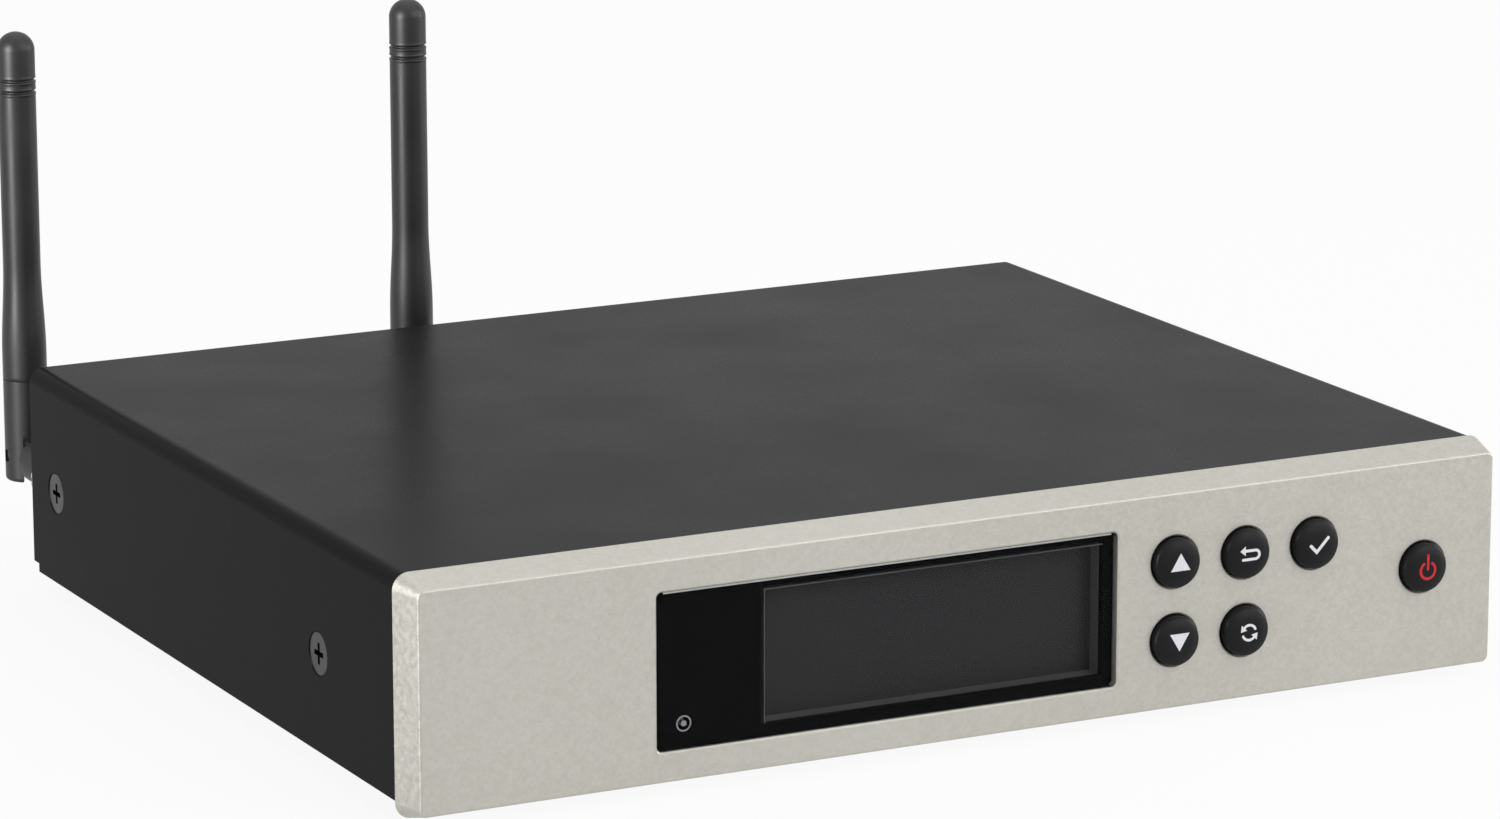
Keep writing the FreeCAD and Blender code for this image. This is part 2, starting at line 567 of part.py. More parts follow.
def rear_panel():
    """A plate with two flanges folded forward, cut for every socket."""
    plate = body("rear_panel")
    inner = "(%s - rear_sheet)" % REAR_HALF
    start = "(case_depth - rear_flange)"
    outline = sketch(plate, "rear_outline", "XY_Plane", ("0", "0", TRAY_FLOOR))
    polygon(outline, [("-" + REAR_HALF, start), ("-" + inner, start), ("-" + inner, REAR_FRONT),
                      (inner, REAR_FRONT), (inner, start), (REAR_HALF, start),
                      (REAR_HALF, "case_depth"), ("-" + REAR_HALF, "case_depth")])
    raised(plate, "rear_fold", outline,
           "%s - cover_sheet - rear_top_gap - %s" % (COVER_TOP, TRAY_FLOOR))
    deep = size_of("case_depth")
    eased(plate, "rear_bends", "rear_sheet",
          lambda edge: runs_along(edge, Z_AXIS) and edge.BoundBox.YMin > deep - 1e-3)
    holes = sketch(plate, "socket_hole_outline", "XZ_Plane", ("0", "0", "1 - " + REAR_FRONT))
    for x in ("left_antenna_x", "centre_antenna_x"):
        circle(holes, x, "antenna_z", "socket_thread + fit_gap")
    circle(holes, "xlr_x", "xlr_z", "xlr_body + fit_gap")
    for side in ("-", "+"):
        circle(holes, "xlr_x %s xlr_screw_x" % side,
               "xlr_z %s xlr_screw_z" % {"-": "+", "+": "-"}[side], "screw_radius + fit_gap")
    circle(holes, "jack_x", "jack_z", "jack_thread + fit_gap")
    for x, wide, tall in (("data_x", "data_wide", "data_tall"), ("dc_x", "dc_wide", "dc_tall")):
        rectangle(holes, "%s - %s / 2 - fit_gap" % (x, wide), "%s + %s / 2 + fit_gap" % (x, wide),
                  MAIN_BOARD_TOP + " - fit_gap", "%s + %s + fit_gap" % (MAIN_BOARD_TOP, tall))
    sunk(plate, "socket_holes", holes, "rear_sheet + 2")
    side_holes(plate, "flange_thread", REAR_HALF, "side_shank_radius + screw_gap",
               "rear_sheet + 1", rear_only=True)


def side_screws():
    """Four countersunk screws with a cross recess, two in each side."""
    screws = []
    for side, sign in (("left", "-"), ("right", "")):
        for place, y in (("front", "side_screw_front"), ("rear", SIDE_REAR)):
            name = "side_screw_%s_%s" % (side, place)
            face = "(%s - side_sink)" % COVER_HALF
            neck = "(%s - side_head_depth)" % face
            tip = "(%s - side_screw_length)" % face
            cone = doc.addObject("Part::Cone", name + "_head")
            cone.Placement = Placement(Vector(), ALONG["x"])
            if sign:
                put(cone, "-" + face, y, SIDE_Z)
                bind(cone, Radius1="side_head_radius", Radius2="side_shank_radius")
                start = "-" + neck
            else:
                put(cone, neck, y, SIDE_Z)
                bind(cone, Radius1="side_shank_radius", Radius2="side_head_radius")
                start = tip
            bind(cone, Height="side_head_depth")
            shank = rod(name + "_shank", "x", (start, y, SIDE_Z), "side_shank_radius",
                        "side_screw_length - side_head_depth")
            if sign:
                recess = ("-%s - 1" % face, "-%s + cross_depth" % face)
            else:
                recess = (face + " - cross_depth", face + " + 1")
            bars = []
            for turn, (wide, tall) in enumerate((("cross_span", "cross_width"),
                                                 ("cross_width", "cross_span"))):
                bars.append(box("%s_bar%d" % (name, turn), recess,
                                ("%s - %s / 2" % (y, wide), "%s + %s / 2" % (y, wide)),
                                ("%s - %s / 2" % (SIDE_Z, tall), "%s + %s / 2" % (SIDE_Z, tall))))
            screws.append(cut(name, fuse(name + "_blank", cone, shank), *bars))
    finish("side_screws", screws)


def panel_screws():
    """Four screws through the tray's front wall into the panel's bosses."""
    screws = []
    for side in ("-", ""):
        for level in ("panel_screw_low", "panel_screw_high"):
            screws.append(small_screw("panel_screw_%d" % len(screws), "y",
                                      (side + "panel_screw_x", TRAY_BACK, level),
                                      TRAY_BACK + " - panel_face - 0.6"))
    finish("panel_screws", screws)


# --------------------------------------------------------------------------------------------
# Display
# --------------------------------------------------------------------------------------------
WINDOW_LOW = "(panel_lift + window_low)"
WINDOW_HIGH = "(panel_lift + window_high)"


def display_window():
    """Clear window let into the panel's face."""
    window = body("display_window")
    outline = sketch(window, "lens_outline", "XZ_Plane", ("0", "0", "-" + WINDOW_BACK))
    rectangle(outline, "window_left", "window_right", WINDOW_LOW, WINDOW_HIGH)
    raised(window, "lens", outline, "window_sheet")
    eased(window, "lens_corners", "window_corner - fit_gap",
          lambda edge: runs_along(edge, Y_AXIS))


def display_bezel():
    """Black moulding behind the window; its deep opening frames the display."""
    bezel = body("display_bezel")
    flange = sketch(bezel, "flange_outline", "XZ_Plane", ("0", "0", "-" + BEZEL_BACK))
    rectangle(flange, "window_left - bezel_flange", "window_right + bezel_flange",
              WINDOW_LOW + " - bezel_flange", WINDOW_HIGH + " + bezel_flange")
    raised(bezel, "flange", flange, BEZEL_BACK + " - panel_face")
    nose = sketch(bezel, "nose_outline", "XZ_Plane", ("0", "0", "-panel_face - 0.5"))
    rectangle(nose, "window_left", "window_right", WINDOW_LOW, WINDOW_HIGH)
    raised(bezel, "nose", nose, "panel_face + 0.5 - " + WINDOW_BACK)
    face = size_of("panel_face") - 1e-3
    eased(bezel, "nose_corners", "window_corner - fit_gap",
          lambda edge: runs_along(edge, Y_AXIS) and edge.BoundBox.YMin < face)
    view = sketch(bezel, "view_outline", "XZ_Plane")
    rectangle(view, "view_left", "view_right", "panel_lift + view_low", "panel_lift + view_high")
    circle(view, "infrared_x", "panel_lift + infrared_z", "infrared_radius + fit_gap")
    sunk(bezel, "view_opening", view, BEZEL_BACK + " + 1")


def display_module():
    """The liquid-crystal glass and the backlight behind it."""
    x = ("view_left - glass_margin", "view_right + glass_margin")
    z = ("panel_lift + view_low - glass_margin", "panel_lift + view_high + glass_margin")
    finish("lcd_glass", [box("lcd_glass_plate", x, (BEZEL_BACK, GLASS_BACK), z)])
    finish("lcd_backlight", [box("lcd_backlight_plate", x, (GLASS_BACK, FRONT_BOARD), z)])


def infrared_diode():
    """Domed diode behind the window's dark end, standing on the front board."""
    diode = body("infrared_diode")
    tip = WINDOW_BACK + " + 0.8"
    turned_along_y(diode, "diode_turn", "infrared_x", "panel_lift + infrared_z", [
        ("0", tip), ("infrared_radius", tip), ("infrared_radius", BEZEL_BACK + " + 1"),
        ("infrared_radius + 0.4", BEZEL_BACK + " + 1"),
        ("infrared_radius + 0.4", BEZEL_BACK + " + 2"), ("0.6", BEZEL_BACK + " + 2"),
        ("0.6", FRONT_BOARD), ("0", FRONT_BOARD)])
    front = size_of("window_sink") + size_of("window_sheet") + 0.8
    eased(diode, "diode_dome", "infrared_radius - 0.1",
          lambda edge: round_edge_at(edge, Y_AXIS, front, size_of("infrared_radius")))


# --------------------------------------------------------------------------------------------
# Buttons, switches, boards and what joins them
# --------------------------------------------------------------------------------------------
SWITCH_FRONT = "(%s - switch_depth)" % FRONT_BOARD


def buttons():
    """Round keys; each has a flange behind the face and a stem into its switch."""
    flange = "(panel_face + fit_gap)"
    stem_end = "(%s + stem_reach)" % SWITCH_FRONT
    for label, (x, z) in BUTTONS.items():
        key = body(label)
        turned_along_y(key, label + "_turn", x, "panel_lift + " + z, [
            ("0", "-button_proud"), ("button_radius", "-button_proud"), ("button_radius", flange),
            ("button_radius + button_flange", flange),
            ("button_radius + button_flange", flange + " + button_flange_sheet"),
            ("stem_radius", flange + " + button_flange_sheet"), ("stem_radius", stem_end),
            ("0", stem_end)])
        eased(key, label + "_rim", "button_edge",
              lambda edge: round_edge_at(edge, Y_AXIS, -size_of("button_proud"),
                                         size_of("button_radius")))


def key_switches():
    """Six square push switches on the front board, each bored for its button's stem."""
    switches = []
    for label, (x, z) in BUTTONS.items():
        height = "(panel_lift + %s)" % z
        case = box(label + "_switch_case", ("%s - switch_side / 2" % x, "%s + switch_side / 2" % x),
                   (SWITCH_FRONT, FRONT_BOARD),
                   ("%s - switch_side / 2" % height, "%s + switch_side / 2" % height))
        bore = rod(label + "_switch_bore", "y", (x, SWITCH_FRONT + " - 1", height),
                   "stem_radius + fit_gap", "switch_bore_depth + 1")
        switches.append(cut(label + "_switch", case, bore))
    finish("key_switches", switches)


def spacer_places():
    """The front board's four fixings."""
    return [(x, z) for x in ("spacer_left", "spacer_right") for z in ("spacer_low", "spacer_high")]


def main_fixings():
    """The main board's six fixings."""
    return [(side + "main_screw_x", y) for side in ("-", "")
            for y in ("main_screw_front", "main_screw_mid", MAIN_SCREW_REAR)]


def boards():
    """Front and main circuit boards, drilled for their screws."""
    plate = box("front_board_plate", ("front_board_left", "front_board_right"),
                (FRONT_BOARD, FRONT_BOARD_BACK), ("front_board_low", "front_board_high"))
    holes = [rod("front_board_hole_%d" % number, "y", (x, FRONT_BOARD + " - 1", z),
                 "screw_radius + fit_gap", "board_sheet + 2")
             for number, (x, z) in enumerate(spacer_places())]
    finish("front_board", cut("front_board_cut", plate, *holes))
    plate = box("main_board_plate", ("-main_board_half", "main_board_half"),
                ("main_board_front", "case_depth - main_board_rear_gap"),
                (MAIN_BOARD, MAIN_BOARD_TOP))
    holes = [rod("main_board_hole_%d" % number, "z", (x, y, MAIN_BOARD + " - 1"),
                 "screw_radius + fit_gap", "board_sheet + 2")
             for number, (x, y) in enumerate(main_fixings())]
    holes.append(box("xlr_notch", ("xlr_x - xlr_body - button_gap", "xlr_x + xlr_body + button_gap"),
                     ("case_depth - xlr_inside - 4", "case_depth"),
                     (MAIN_BOARD + " - 1", MAIN_BOARD_TOP + " + 1")))
    finish("main_board", cut("main_board_cut", plate, *holes))


def spacers():
    """Round spacers for the front board and six-sided pillars for the main board."""
    tubes = []
    for number, (x, z) in enumerate(spacer_places()):
        name = "spacer_%d" % number
        outside = rod(name + "_outside", "y", (x, TRAY_BACK, z), "spacer_radius",
                      "%s - %s" % (FRONT_BOARD, TRAY_BACK))
        bore = rod(name + "_bore", "y", (x, TRAY_BACK + " - 1", z), "screw_radius + screw_gap",
                   "%s - %s + 2" % (FRONT_BOARD, TRAY_BACK))
        tubes.append(cut(name, outside, bore))
    finish("front_board_spacers", tubes)
    pillars = []
    for number, (x, y) in enumerate(main_fixings()):
        name = "pillar_%d" % number
        outside = doc.addObject("Part::Prism", name + "_outside")
        outside.Polygon = 6
        put(outside, x, y, TRAY_FLOOR)
        bind(outside, Circumradius="standoff_radius", Height="standoff_high")
        bore = rod(name + "_bore", "z", (x, y, TRAY_FLOOR + " - 1"), "screw_radius + screw_gap",
                   "standoff_high + 2")
        pillars.append(cut(name, outside, bore))
    finish("board_standoffs", pillars)


def board_screws():
    """Ten alike screws: four in the front board, six in the main board."""
    screws = []
    for x, z in spacer_places():
        screws.append(small_screw("board_screw_%d" % len(screws), "y", (x, FRONT_BOARD_BACK, z),
                                  "board_sheet + 0.8 * (%s - %s)" % (FRONT_BOARD, TRAY_BACK)))
    for x, y in main_fixings():
        screws.append(small_screw("board_screw_%d" % len(screws), "z", (x, y, MAIN_BOARD_TOP),
                                  "board_sheet + 0.8 * standoff_high"))
    finish("board_screws", screws)


def ribbon():
    """A flat ribbon bent once between its two connectors."""
    near = "(%s + plug_deep)" % FRONT_BOARD_BACK
    low = "(%s + plug_high)" % MAIN_BOARD_TOP
    half = "ribbon_sheet / 2"
    cable = body("ribbon_cable")
    outline = sketch(cable, "ribbon_outline", "YZ_Plane", ("0", "0", "ribbon_left"))
    polygon(outline, [(near, "ribbon_high - " + half),
                      ("ribbon_reach - " + half, "ribbon_high - " + half),
                      ("ribbon_reach - " + half, low), ("ribbon_reach + " + half, low),
                      ("ribbon_reach + " + half, "ribbon_high + " + half),
                      (near, "ribbon_high + " + half)])
    raised(cable, "ribbon_strip", outline, "ribbon_width")
    bend_y = size_of("ribbon_reach")
    bend_z = size_of("ribbon_high")
    for name, sign, radius in (("inner_bend", -1, "ribbon_bend - " + half),
                               ("outer_bend", 1, "ribbon_bend + " + half)):
        eased(cable, name, radius,
              lambda edge: runs_along(edge, X_AXIS)
              and sign * (edge.BoundBox.YMin - bend_y) > 0
              and sign * (edge.BoundBox.ZMin - bend_z) > 0
              and abs(edge.BoundBox.YMin - bend_y) < size_of("ribbon_sheet")
              and abs(edge.BoundBox.ZMin - bend_z) < size_of("ribbon_sheet"))
    x = ("ribbon_left - 2", "ribbon_left + ribbon_width + 2")
    upper = box("ribbon_plug_front", x, (FRONT_BOARD_BACK, near),
                ("ribbon_high - plug_high / 2", "ribbon_high + plug_high / 2"))
    lower = box("ribbon_plug_main", x, ("ribbon_reach - plug_high / 2",
                                        "ribbon_reach + plug_high / 2"), (MAIN_BOARD_TOP, low))
    finish("ribbon_connectors", [upper, lower])


# What stands on the main board. Chips: left, front face ahead of the shield cans, width, depth.
# Capacitors and the transformer: middle across, and middle ahead of the case's rear.
CHIPS = {"audio_chip": (38.0, 46.0, 14.0, 14.0), "tuner_chip": (-62.0, 46.0, 12.0, 12.0),
         "control_chip": (6.0, 20.0, 10.0, 8.0)}
CAPACITORS = {"supply_capacitor": (78.0, 47.0), "filter_capacitor": (78.0, 59.0),
              "output_capacitor": (66.0, 47.0), "bridge_capacitor": (66.0, 59.0)}
TRANSFORMER = (28.0, 53.0)
CAN_FRONT = "(case_depth - can_rear_inset)"


def board_parts():
    """Shield cans, chips, capacitors and the output transformer on the main board."""
    for label, x in (("left_shield_can", "left_can_x"), ("right_shield_can", "right_can_x")):
        outside = box(label + "_outside", (x, x + " + can_wide"),
                      (CAN_FRONT, CAN_FRONT + " + can_deep"),
                      (MAIN_BOARD_TOP, MAIN_BOARD_TOP + " + can_high"))
        inside = box(label + "_inside", (x + " + can_sheet", x + " + can_wide - can_sheet"),
                     (CAN_FRONT + " + can_sheet", CAN_FRONT + " + can_deep - can_sheet"),
                     (MAIN_BOARD_TOP + " - 1", MAIN_BOARD_TOP + " + can_high - can_sheet"))
        finish(label, cut(label + "_cut", outside, inside))
    finish("processor_chips", [
        box(name, (str(x), "%s + %s" % (x, wide)),
            ("%s - %s" % (CAN_FRONT, ahead), "%s - %s + %s" % (CAN_FRONT, ahead, deep)),
            (MAIN_BOARD_TOP, MAIN_BOARD_TOP + " + chip_high"))
        for name, (x, ahead, wide, deep) in CHIPS.items()])
    finish("filter_capacitors", [
        rod(name, "z", (str(x), "case_depth - %s" % inset, MAIN_BOARD_TOP), "capacitor_radius",
            "capacitor_high")
        for name, (x, inset) in CAPACITORS.items()])
    x, y = str(TRANSFORMER[0]), "case_depth - %s" % TRANSFORMER[1]
    half_wide = "transformer_wide / 2"
    half_deep = "transformer_deep / 2"
    core = box("transformer_core", ("%s - %s" % (x, half_wide), "%s + %s" % (x, half_wide)),
               ("%s - %s * 0.6" % (y, half_deep), "%s + %s * 0.6" % (y, half_deep)),
               (MAIN_BOARD_TOP, MAIN_BOARD_TOP + " + transformer_high"))
    coil = box("transformer_coil",
               ("%s - %s * 0.6" % (x, half_wide), "%s + %s * 0.6" % (x, half_wide)),
               ("%s - %s" % (y, half_deep), "%s + %s" % (y, half_deep)),
               (MAIN_BOARD_TOP, MAIN_BOARD_TOP + " + transformer_high * 0.85"))
    finish("audio_transformer", fuse("transformer_whole", core, coil))


# --------------------------------------------------------------------------------------------
# Antenna sockets and antennas
# --------------------------------------------------------------------------------------------
ANTENNAS = {"left": "left_antenna_x", "centre": "centre_antenna_x"}
FLANGE_BACK = "(%s - socket_flange_sheet)" % REAR_FRONT
CUP_FLOOR = "(case_depth + cup_start)"
RING_FRONT = "(case_depth + ring_start)"
RING_BACK = "(case_depth + ring_start + ring_length)"
LUG_Y = "(%s - lug_back)" % SOCKET_TIP


def antenna_socket(label, x):
    """Bayonet jack: block on the board, flange, thread, barrel and two lugs."""
    bore = "insulator_radius + screw_gap"
    thread_end = "case_depth + nut_sheet + thread_past_nut"
    jack = body(label)
    lugs = sketch(jack, label + "_lug_outline", "YZ_Plane", ("0", "0", x + " - lug_reach"))
    circle(lugs, LUG_Y, "antenna_z", "lug_radius")
    raised(jack, label + "_lugs", lugs, "2 * lug_reach")
    turned_along_y(jack, label + "_turn", x, "antenna_z", [
        (bore, FLANGE_BACK), ("socket_flange", FLANGE_BACK), ("socket_flange", REAR_FRONT),
        ("socket_thread", REAR_FRONT), ("socket_thread", thread_end), ("socket_radius", thread_end),
        ("socket_radius", SOCKET_TIP), (bore, SOCKET_TIP)])
    cup = sketch(jack, label + "_cup_outline", "XZ_Plane", ("0", "0", "-%s - 1" % SOCKET_TIP))
    circle(cup, x, "antenna_z", "socket_bore")
    sunk(jack, label + "_cup", cup, "%s + 1 - %s" % (SOCKET_TIP, CUP_FLOOR), backwards=True)
    block = sketch(jack, label + "_block_outline", "XZ_Plane",
                   ("0", "0", "-%s" % FLANGE_BACK))
    rectangle(block, x + " - socket_block / 2", x + " + socket_block / 2", MAIN_BOARD_TOP,
              "antenna_z + socket_block / 2")
    circle(block, x, "antenna_z", bore)
    raised(jack, label + "_block", block, "socket_block_deep")


def antenna_sockets():
    """Both jacks with their nuts, insulators and centre contacts."""
    nuts, insulators, contacts = [], [], []
    for side, x in ANTENNAS.items():
        antenna_socket(side + "_antenna_socket", x)
        blank = doc.addObject("Part::Prism", side + "_nut_blank")
        blank.Polygon = 6
        blank.Placement = Placement(Vector(), ALONG["y"])
        put(blank, x, "case_depth", "antenna_z")
        bind(blank, Circumradius="nut_flats / sqrt(3)", Height="nut_sheet")
        hole = rod(side + "_nut_hole", "y", (x, "case_depth - 1", "antenna_z"),
                   "socket_thread + screw_gap", "nut_sheet + 2")
        nuts.append(cut(side + "_nut", blank, hole))
        back = "(%s - socket_block_deep)" % FLANGE_BACK
        sleeve = rod(side + "_insulator_sleeve", "y", (x, back, "antenna_z"), "insulator_radius",
                     "%s - 2.5 - %s" % (SOCKET_TIP, back))
        channel = rod(side + "_insulator_channel", "y", (x, back + " - 1", "antenna_z"),
                      "contact_radius + screw_gap", "%s + 1 - %s" % (SOCKET_TIP, back))
        insulators.append(cut(side + "_insulator", sleeve, channel))
        contacts.append(rod(side + "_contact", "y", (x, back + " - 2", "antenna_z"),
                            "contact_radius", "%s - 1 - %s" % (SOCKET_TIP, back)))
    finish("antenna_socket_nuts", nuts)
    finish("antenna_socket_insulators", insulators)
    finish("antenna_socket_contacts", contacts)


def coupling_ring(side, x):
    """Bayonet ring: ribbed outside, two entry slots and a groove that traps the lugs."""
    ring = body(side + "_coupling_ring")
    lip = "(%s + ring_lip)" % RING_FRONT
    shoulder = "(%s - ring_shoulder)" % RING_BACK
    turned_along_y(ring, side + "_ring_turn", x, "antenna_z", [
        ("socket_radius + fit_gap", RING_FRONT), ("ring_radius", RING_FRONT),
        ("ring_radius", RING_BACK), ("neck_radius + running_gap", RING_BACK),
        ("neck_radius + running_gap", shoulder), ("ring_groove", shoulder),
        ("ring_groove", lip), ("socket_radius + fit_gap", lip)])
    radius = size_of("ring_radius")
    eased(ring, side + "_ring_edges", "ring_rib * 1.5",
          lambda edge: edge.Curve.TypeId == "Part::GeomCircle"
          and abs(edge.Curve.Radius - radius) < 1e-4)
    slots = sketch(ring, side + "_slot_outline", "XZ_Plane", ("0", "0", "1 - " + RING_FRONT))
    rectangle(slots, x + " - lug_radius - button_gap", x + " + lug_radius + button_gap",
              "antenna_z - ring_groove", "antenna_z + ring_groove")
    sunk(ring, side + "_entry_slots", slots, "ring_lip + 1")
    rib = sketch(ring, side + "_rib_outline", "XZ_Plane",
                 (x, "antenna_z", "-(%s + ring_length * 0.3)" % RING_FRONT))
    circle(rib, "ring_radius + ring_rib", "0", "2 * ring_rib")
    groove = sunk(ring, side + "_rib_groove", rib, "ring_length")
    ribs = ring.newObject("PartDesign::PolarPattern", side + "_ribs")
    ribs.Originals = [groove]
    ribs.Axis = (rib, ["N_Axis"])
    ribs.Angle = 360
    ribs.Occurrences = 24
    ring.Tip = ribs


def antenna_plug(side, x):
    """Plug that turns in the socket, with a flat tongue for the knuckle."""
    plug = body(side + "_antenna_plug")
    collar = "(%s + 0.4)" % SOCKET_TIP
    inner = "insulator_radius + fit_gap"
    turned_along_y(plug, side + "_plug_turn", x, "antenna_z", [
        (inner, SOCKET_TIP + " - plug_sleeve"),
        ("socket_bore - running_gap", SOCKET_TIP + " - plug_sleeve"),
        ("socket_bore - running_gap", collar), ("ring_groove - button_gap", collar),
        ("ring_groove - button_gap", collar + " + plug_collar"),
        ("neck_radius", collar + " + plug_collar"),
        ("neck_radius", NECK_END), ("0", NECK_END), ("0", collar), (inner, collar)])
    tongue = sketch(plug, side + "_tongue_outline", "YZ_Plane", ("0", "0", x + " - tongue_half"))
    rectangle(tongue, NECK_END + " - 0.5", MAST_Y, "antenna_z - tongue_radius",
              "antenna_z + tongue_radius")
    raised(plug, side + "_tongue", tongue, "2 * tongue_half")
    tip = sketch(plug, side + "_tip_outline", "YZ_Plane", ("0", "0", x + " - tongue_half"))
    circle(tip, MAST_Y, "antenna_z", "tongue_radius")
    raised(plug, side + "_tip", tip, "2 * tongue_half")
    hole = sketch(plug, side + "_tongue_hole_outline", "YZ_Plane",
                  ("0", "0", x + " + tongue_half + 1"))
    circle(hole, MAST_Y, "antenna_z", "hinge_radius + screw_gap")
    sunk(plug, side + "_tongue_hole", hole, "2 * tongue_half + 2")


def antenna_fork(side, x):
    """Lower part of the antenna: slotted for the tongue and drilled for the pin."""
    fork = body(side + "_antenna_fork")
    low = "(antenna_z - fork_below)"
    outline = sketch(fork, side + "_fork_outline", "XY_Plane", ("0", "0", low))
    circle(outline, x, MAST_Y, "fork_radius")
    raised(fork, side + "_fork_bar", outline, "fork_top - " + low)
    bottom = size_of("antenna_z") - size_of("fork_below")
    eased(fork, side + "_fork_end", "fork_edge",
          lambda edge: round_edge_at(edge, Z_AXIS, bottom, size_of("fork_radius")))
    slot = sketch(fork, side + "_slot_outline", "XZ_Plane",
                  ("0", "0", "2 * fork_radius - " + MAST_Y))
    rectangle(slot, x + " - tongue_half - fit_gap", x + " + tongue_half + fit_gap",
              low + " - 1", "antenna_z + fork_slot_top")
    sunk(fork, side + "_slot", slot, "4 * fork_radius")
    hole = sketch(fork, side + "_fork_hole_outline", "YZ_Plane", ("0", "0", x + " + fork_radius"
                                                                  " + 1"))
    circle(hole, MAST_Y, "antenna_z", "hinge_radius + pin_gap")
    sunk(fork, side + "_fork_hole", hole, "2 * fork_radius + 2")
    well = sketch(fork, side + "_well_outline", "XY_Plane", ("0", "0", "fork_top + 1"))
    circle(well, x, MAST_Y, "radiator_radius + screw_gap")
    sunk(fork, side + "_well", well, "fork_top + 1 - radiator_low")


def antenna_mast(side, x):
    """Rubber rod with a flared foot, two fine grooves and a domed tip."""
    mast = body(side + "_antenna_mast")
    bore = "radiator_radius + screw_gap"
    floor = "mast_radius - groove_deep"
    profile = [(bore, "fork_top"), ("fork_radius", "fork_top"), ("mast_radius", "mast_flare_top")]
    for low in ("(groove_high - groove_pitch)", "groove_high"):
        profile += [("mast_radius", low + " - groove_wide"), (floor, low + " - groove_wide / 2"),
                    ("mast_radius", low)]
    profile += [("mast_radius", "mast_top"), ("0", "mast_top"),
                ("0", "mast_top - radiator_top_gap"), (bore, "mast_top - radiator_top_gap")]
    turned_along_z(mast, side + "_mast_turn", x, MAST_Y, profile)
    top = size_of("mast_top")
    eased(mast, side + "_mast_dome", "mast_radius - screw_gap",
          lambda edge: round_edge_at(edge, Z_AXIS, top, size_of("mast_radius")))


def antennas():
    """Two alike antennas, each of six pieces."""
    for side, x in ANTENNAS.items():
        coupling_ring(side, x)
        antenna_plug(side, x)
        antenna_fork(side, x)
        antenna_mast(side, x)
        finish(side + "_hinge_pin", [
            rod(side + "_pin_bar", "x", (x + " - fork_radius + hinge_inset", MAST_Y, "antenna_z"),
                "hinge_radius", "2 * (fork_radius - hinge_inset)")])
        finish(side + "_antenna_radiator", [
            rod(side + "_radiator_bar", "z", (x, MAST_Y, "radiator_low"), "radiator_radius",
                "mast_top - radiator_top_gap - radiator_low")])


# --------------------------------------------------------------------------------------------
# Other sockets on the rear panel
# --------------------------------------------------------------------------------------------
def audio_output():
    """Round three-pin output: flanged shell, insert, pins and two screws."""
    shell = body("xlr_shell")
    floor = "(case_depth - xlr_inside)"
    flange = sketch(shell, "xlr_flange_outline", "XZ_Plane", ("0", "0", "-case_depth - xlr_sheet"))
    rectangle(flange, "xlr_x - xlr_wide / 2", "xlr_x + xlr_wide / 2", "xlr_z - xlr_tall / 2",
              "xlr_z + xlr_tall / 2")
    raised(shell, "xlr_flange", flange, "xlr_sheet")
    eased(shell, "xlr_corners", "xlr_corner", lambda edge: runs_along(edge, Y_AXIS))
    barrel = sketch(shell, "xlr_barrel_outline", "XZ_Plane", ("0", "0", "-case_depth"))
    circle(barrel, "xlr_x", "xlr_z", "xlr_body")
    raised(shell, "xlr_barrel", barrel, "xlr_inside")
    cup = sketch(shell, "xlr_cup_outline", "XZ_Plane", ("0", "0", "1 - " + floor))
    circle(cup, "xlr_x", "xlr_z", "xlr_cup")
    sunk(shell, "xlr_cup_opening", cup, "xlr_inside + xlr_sheet + 2")
    fixing = sketch(shell, "xlr_fixing_outline", "XZ_Plane", ("0", "0", "1 - case_depth"))
    places = [("xlr_x - xlr_screw_x", "xlr_z + xlr_screw_z"),
              ("xlr_x + xlr_screw_x", "xlr_z - xlr_screw_z")]
    for x, z in places:
        circle(fixing, x, z, "screw_radius + fit_gap")
    sunk(shell, "xlr_fixings", fixing, "xlr_sheet + 2")
    disc = rod("xlr_insert_disc", "y", ("xlr_x", floor, "xlr_z"), "xlr_cup - screw_gap",
               "xlr_insert")
    spots = [("xlr_x - xlr_pin_side", "xlr_z + xlr_pin_up"),
             ("xlr_x + xlr_pin_side", "xlr_z + xlr_pin_up"), ("xlr_x", "xlr_z - xlr_pin_down")]
    holes = [rod("xlr_pin_hole_%d" % number, "y", (x, floor + " - 1", z),
                 "xlr_pin_radius + screw_gap", "xlr_insert + 2")
             for number, (x, z) in enumerate(spots)]
    finish("xlr_insert", cut("xlr_insert_cut", disc, *holes))
    finish("xlr_pins", [rod("xlr_pin_%d" % number, "y", (x, floor + " - 3", z), "xlr_pin_radius",
                            "xlr_inside + 3 + xlr_sheet - xlr_pin_inset")
                        for number, (x, z) in enumerate(spots)])
    finish("xlr_screws", [small_screw("xlr_screw_%d" % number, "y",
                                      (x, "case_depth + xlr_sheet", z),
                                      "xlr_sheet + rear_sheet + 2.5")
                          for number, (x, z) in enumerate(places)])


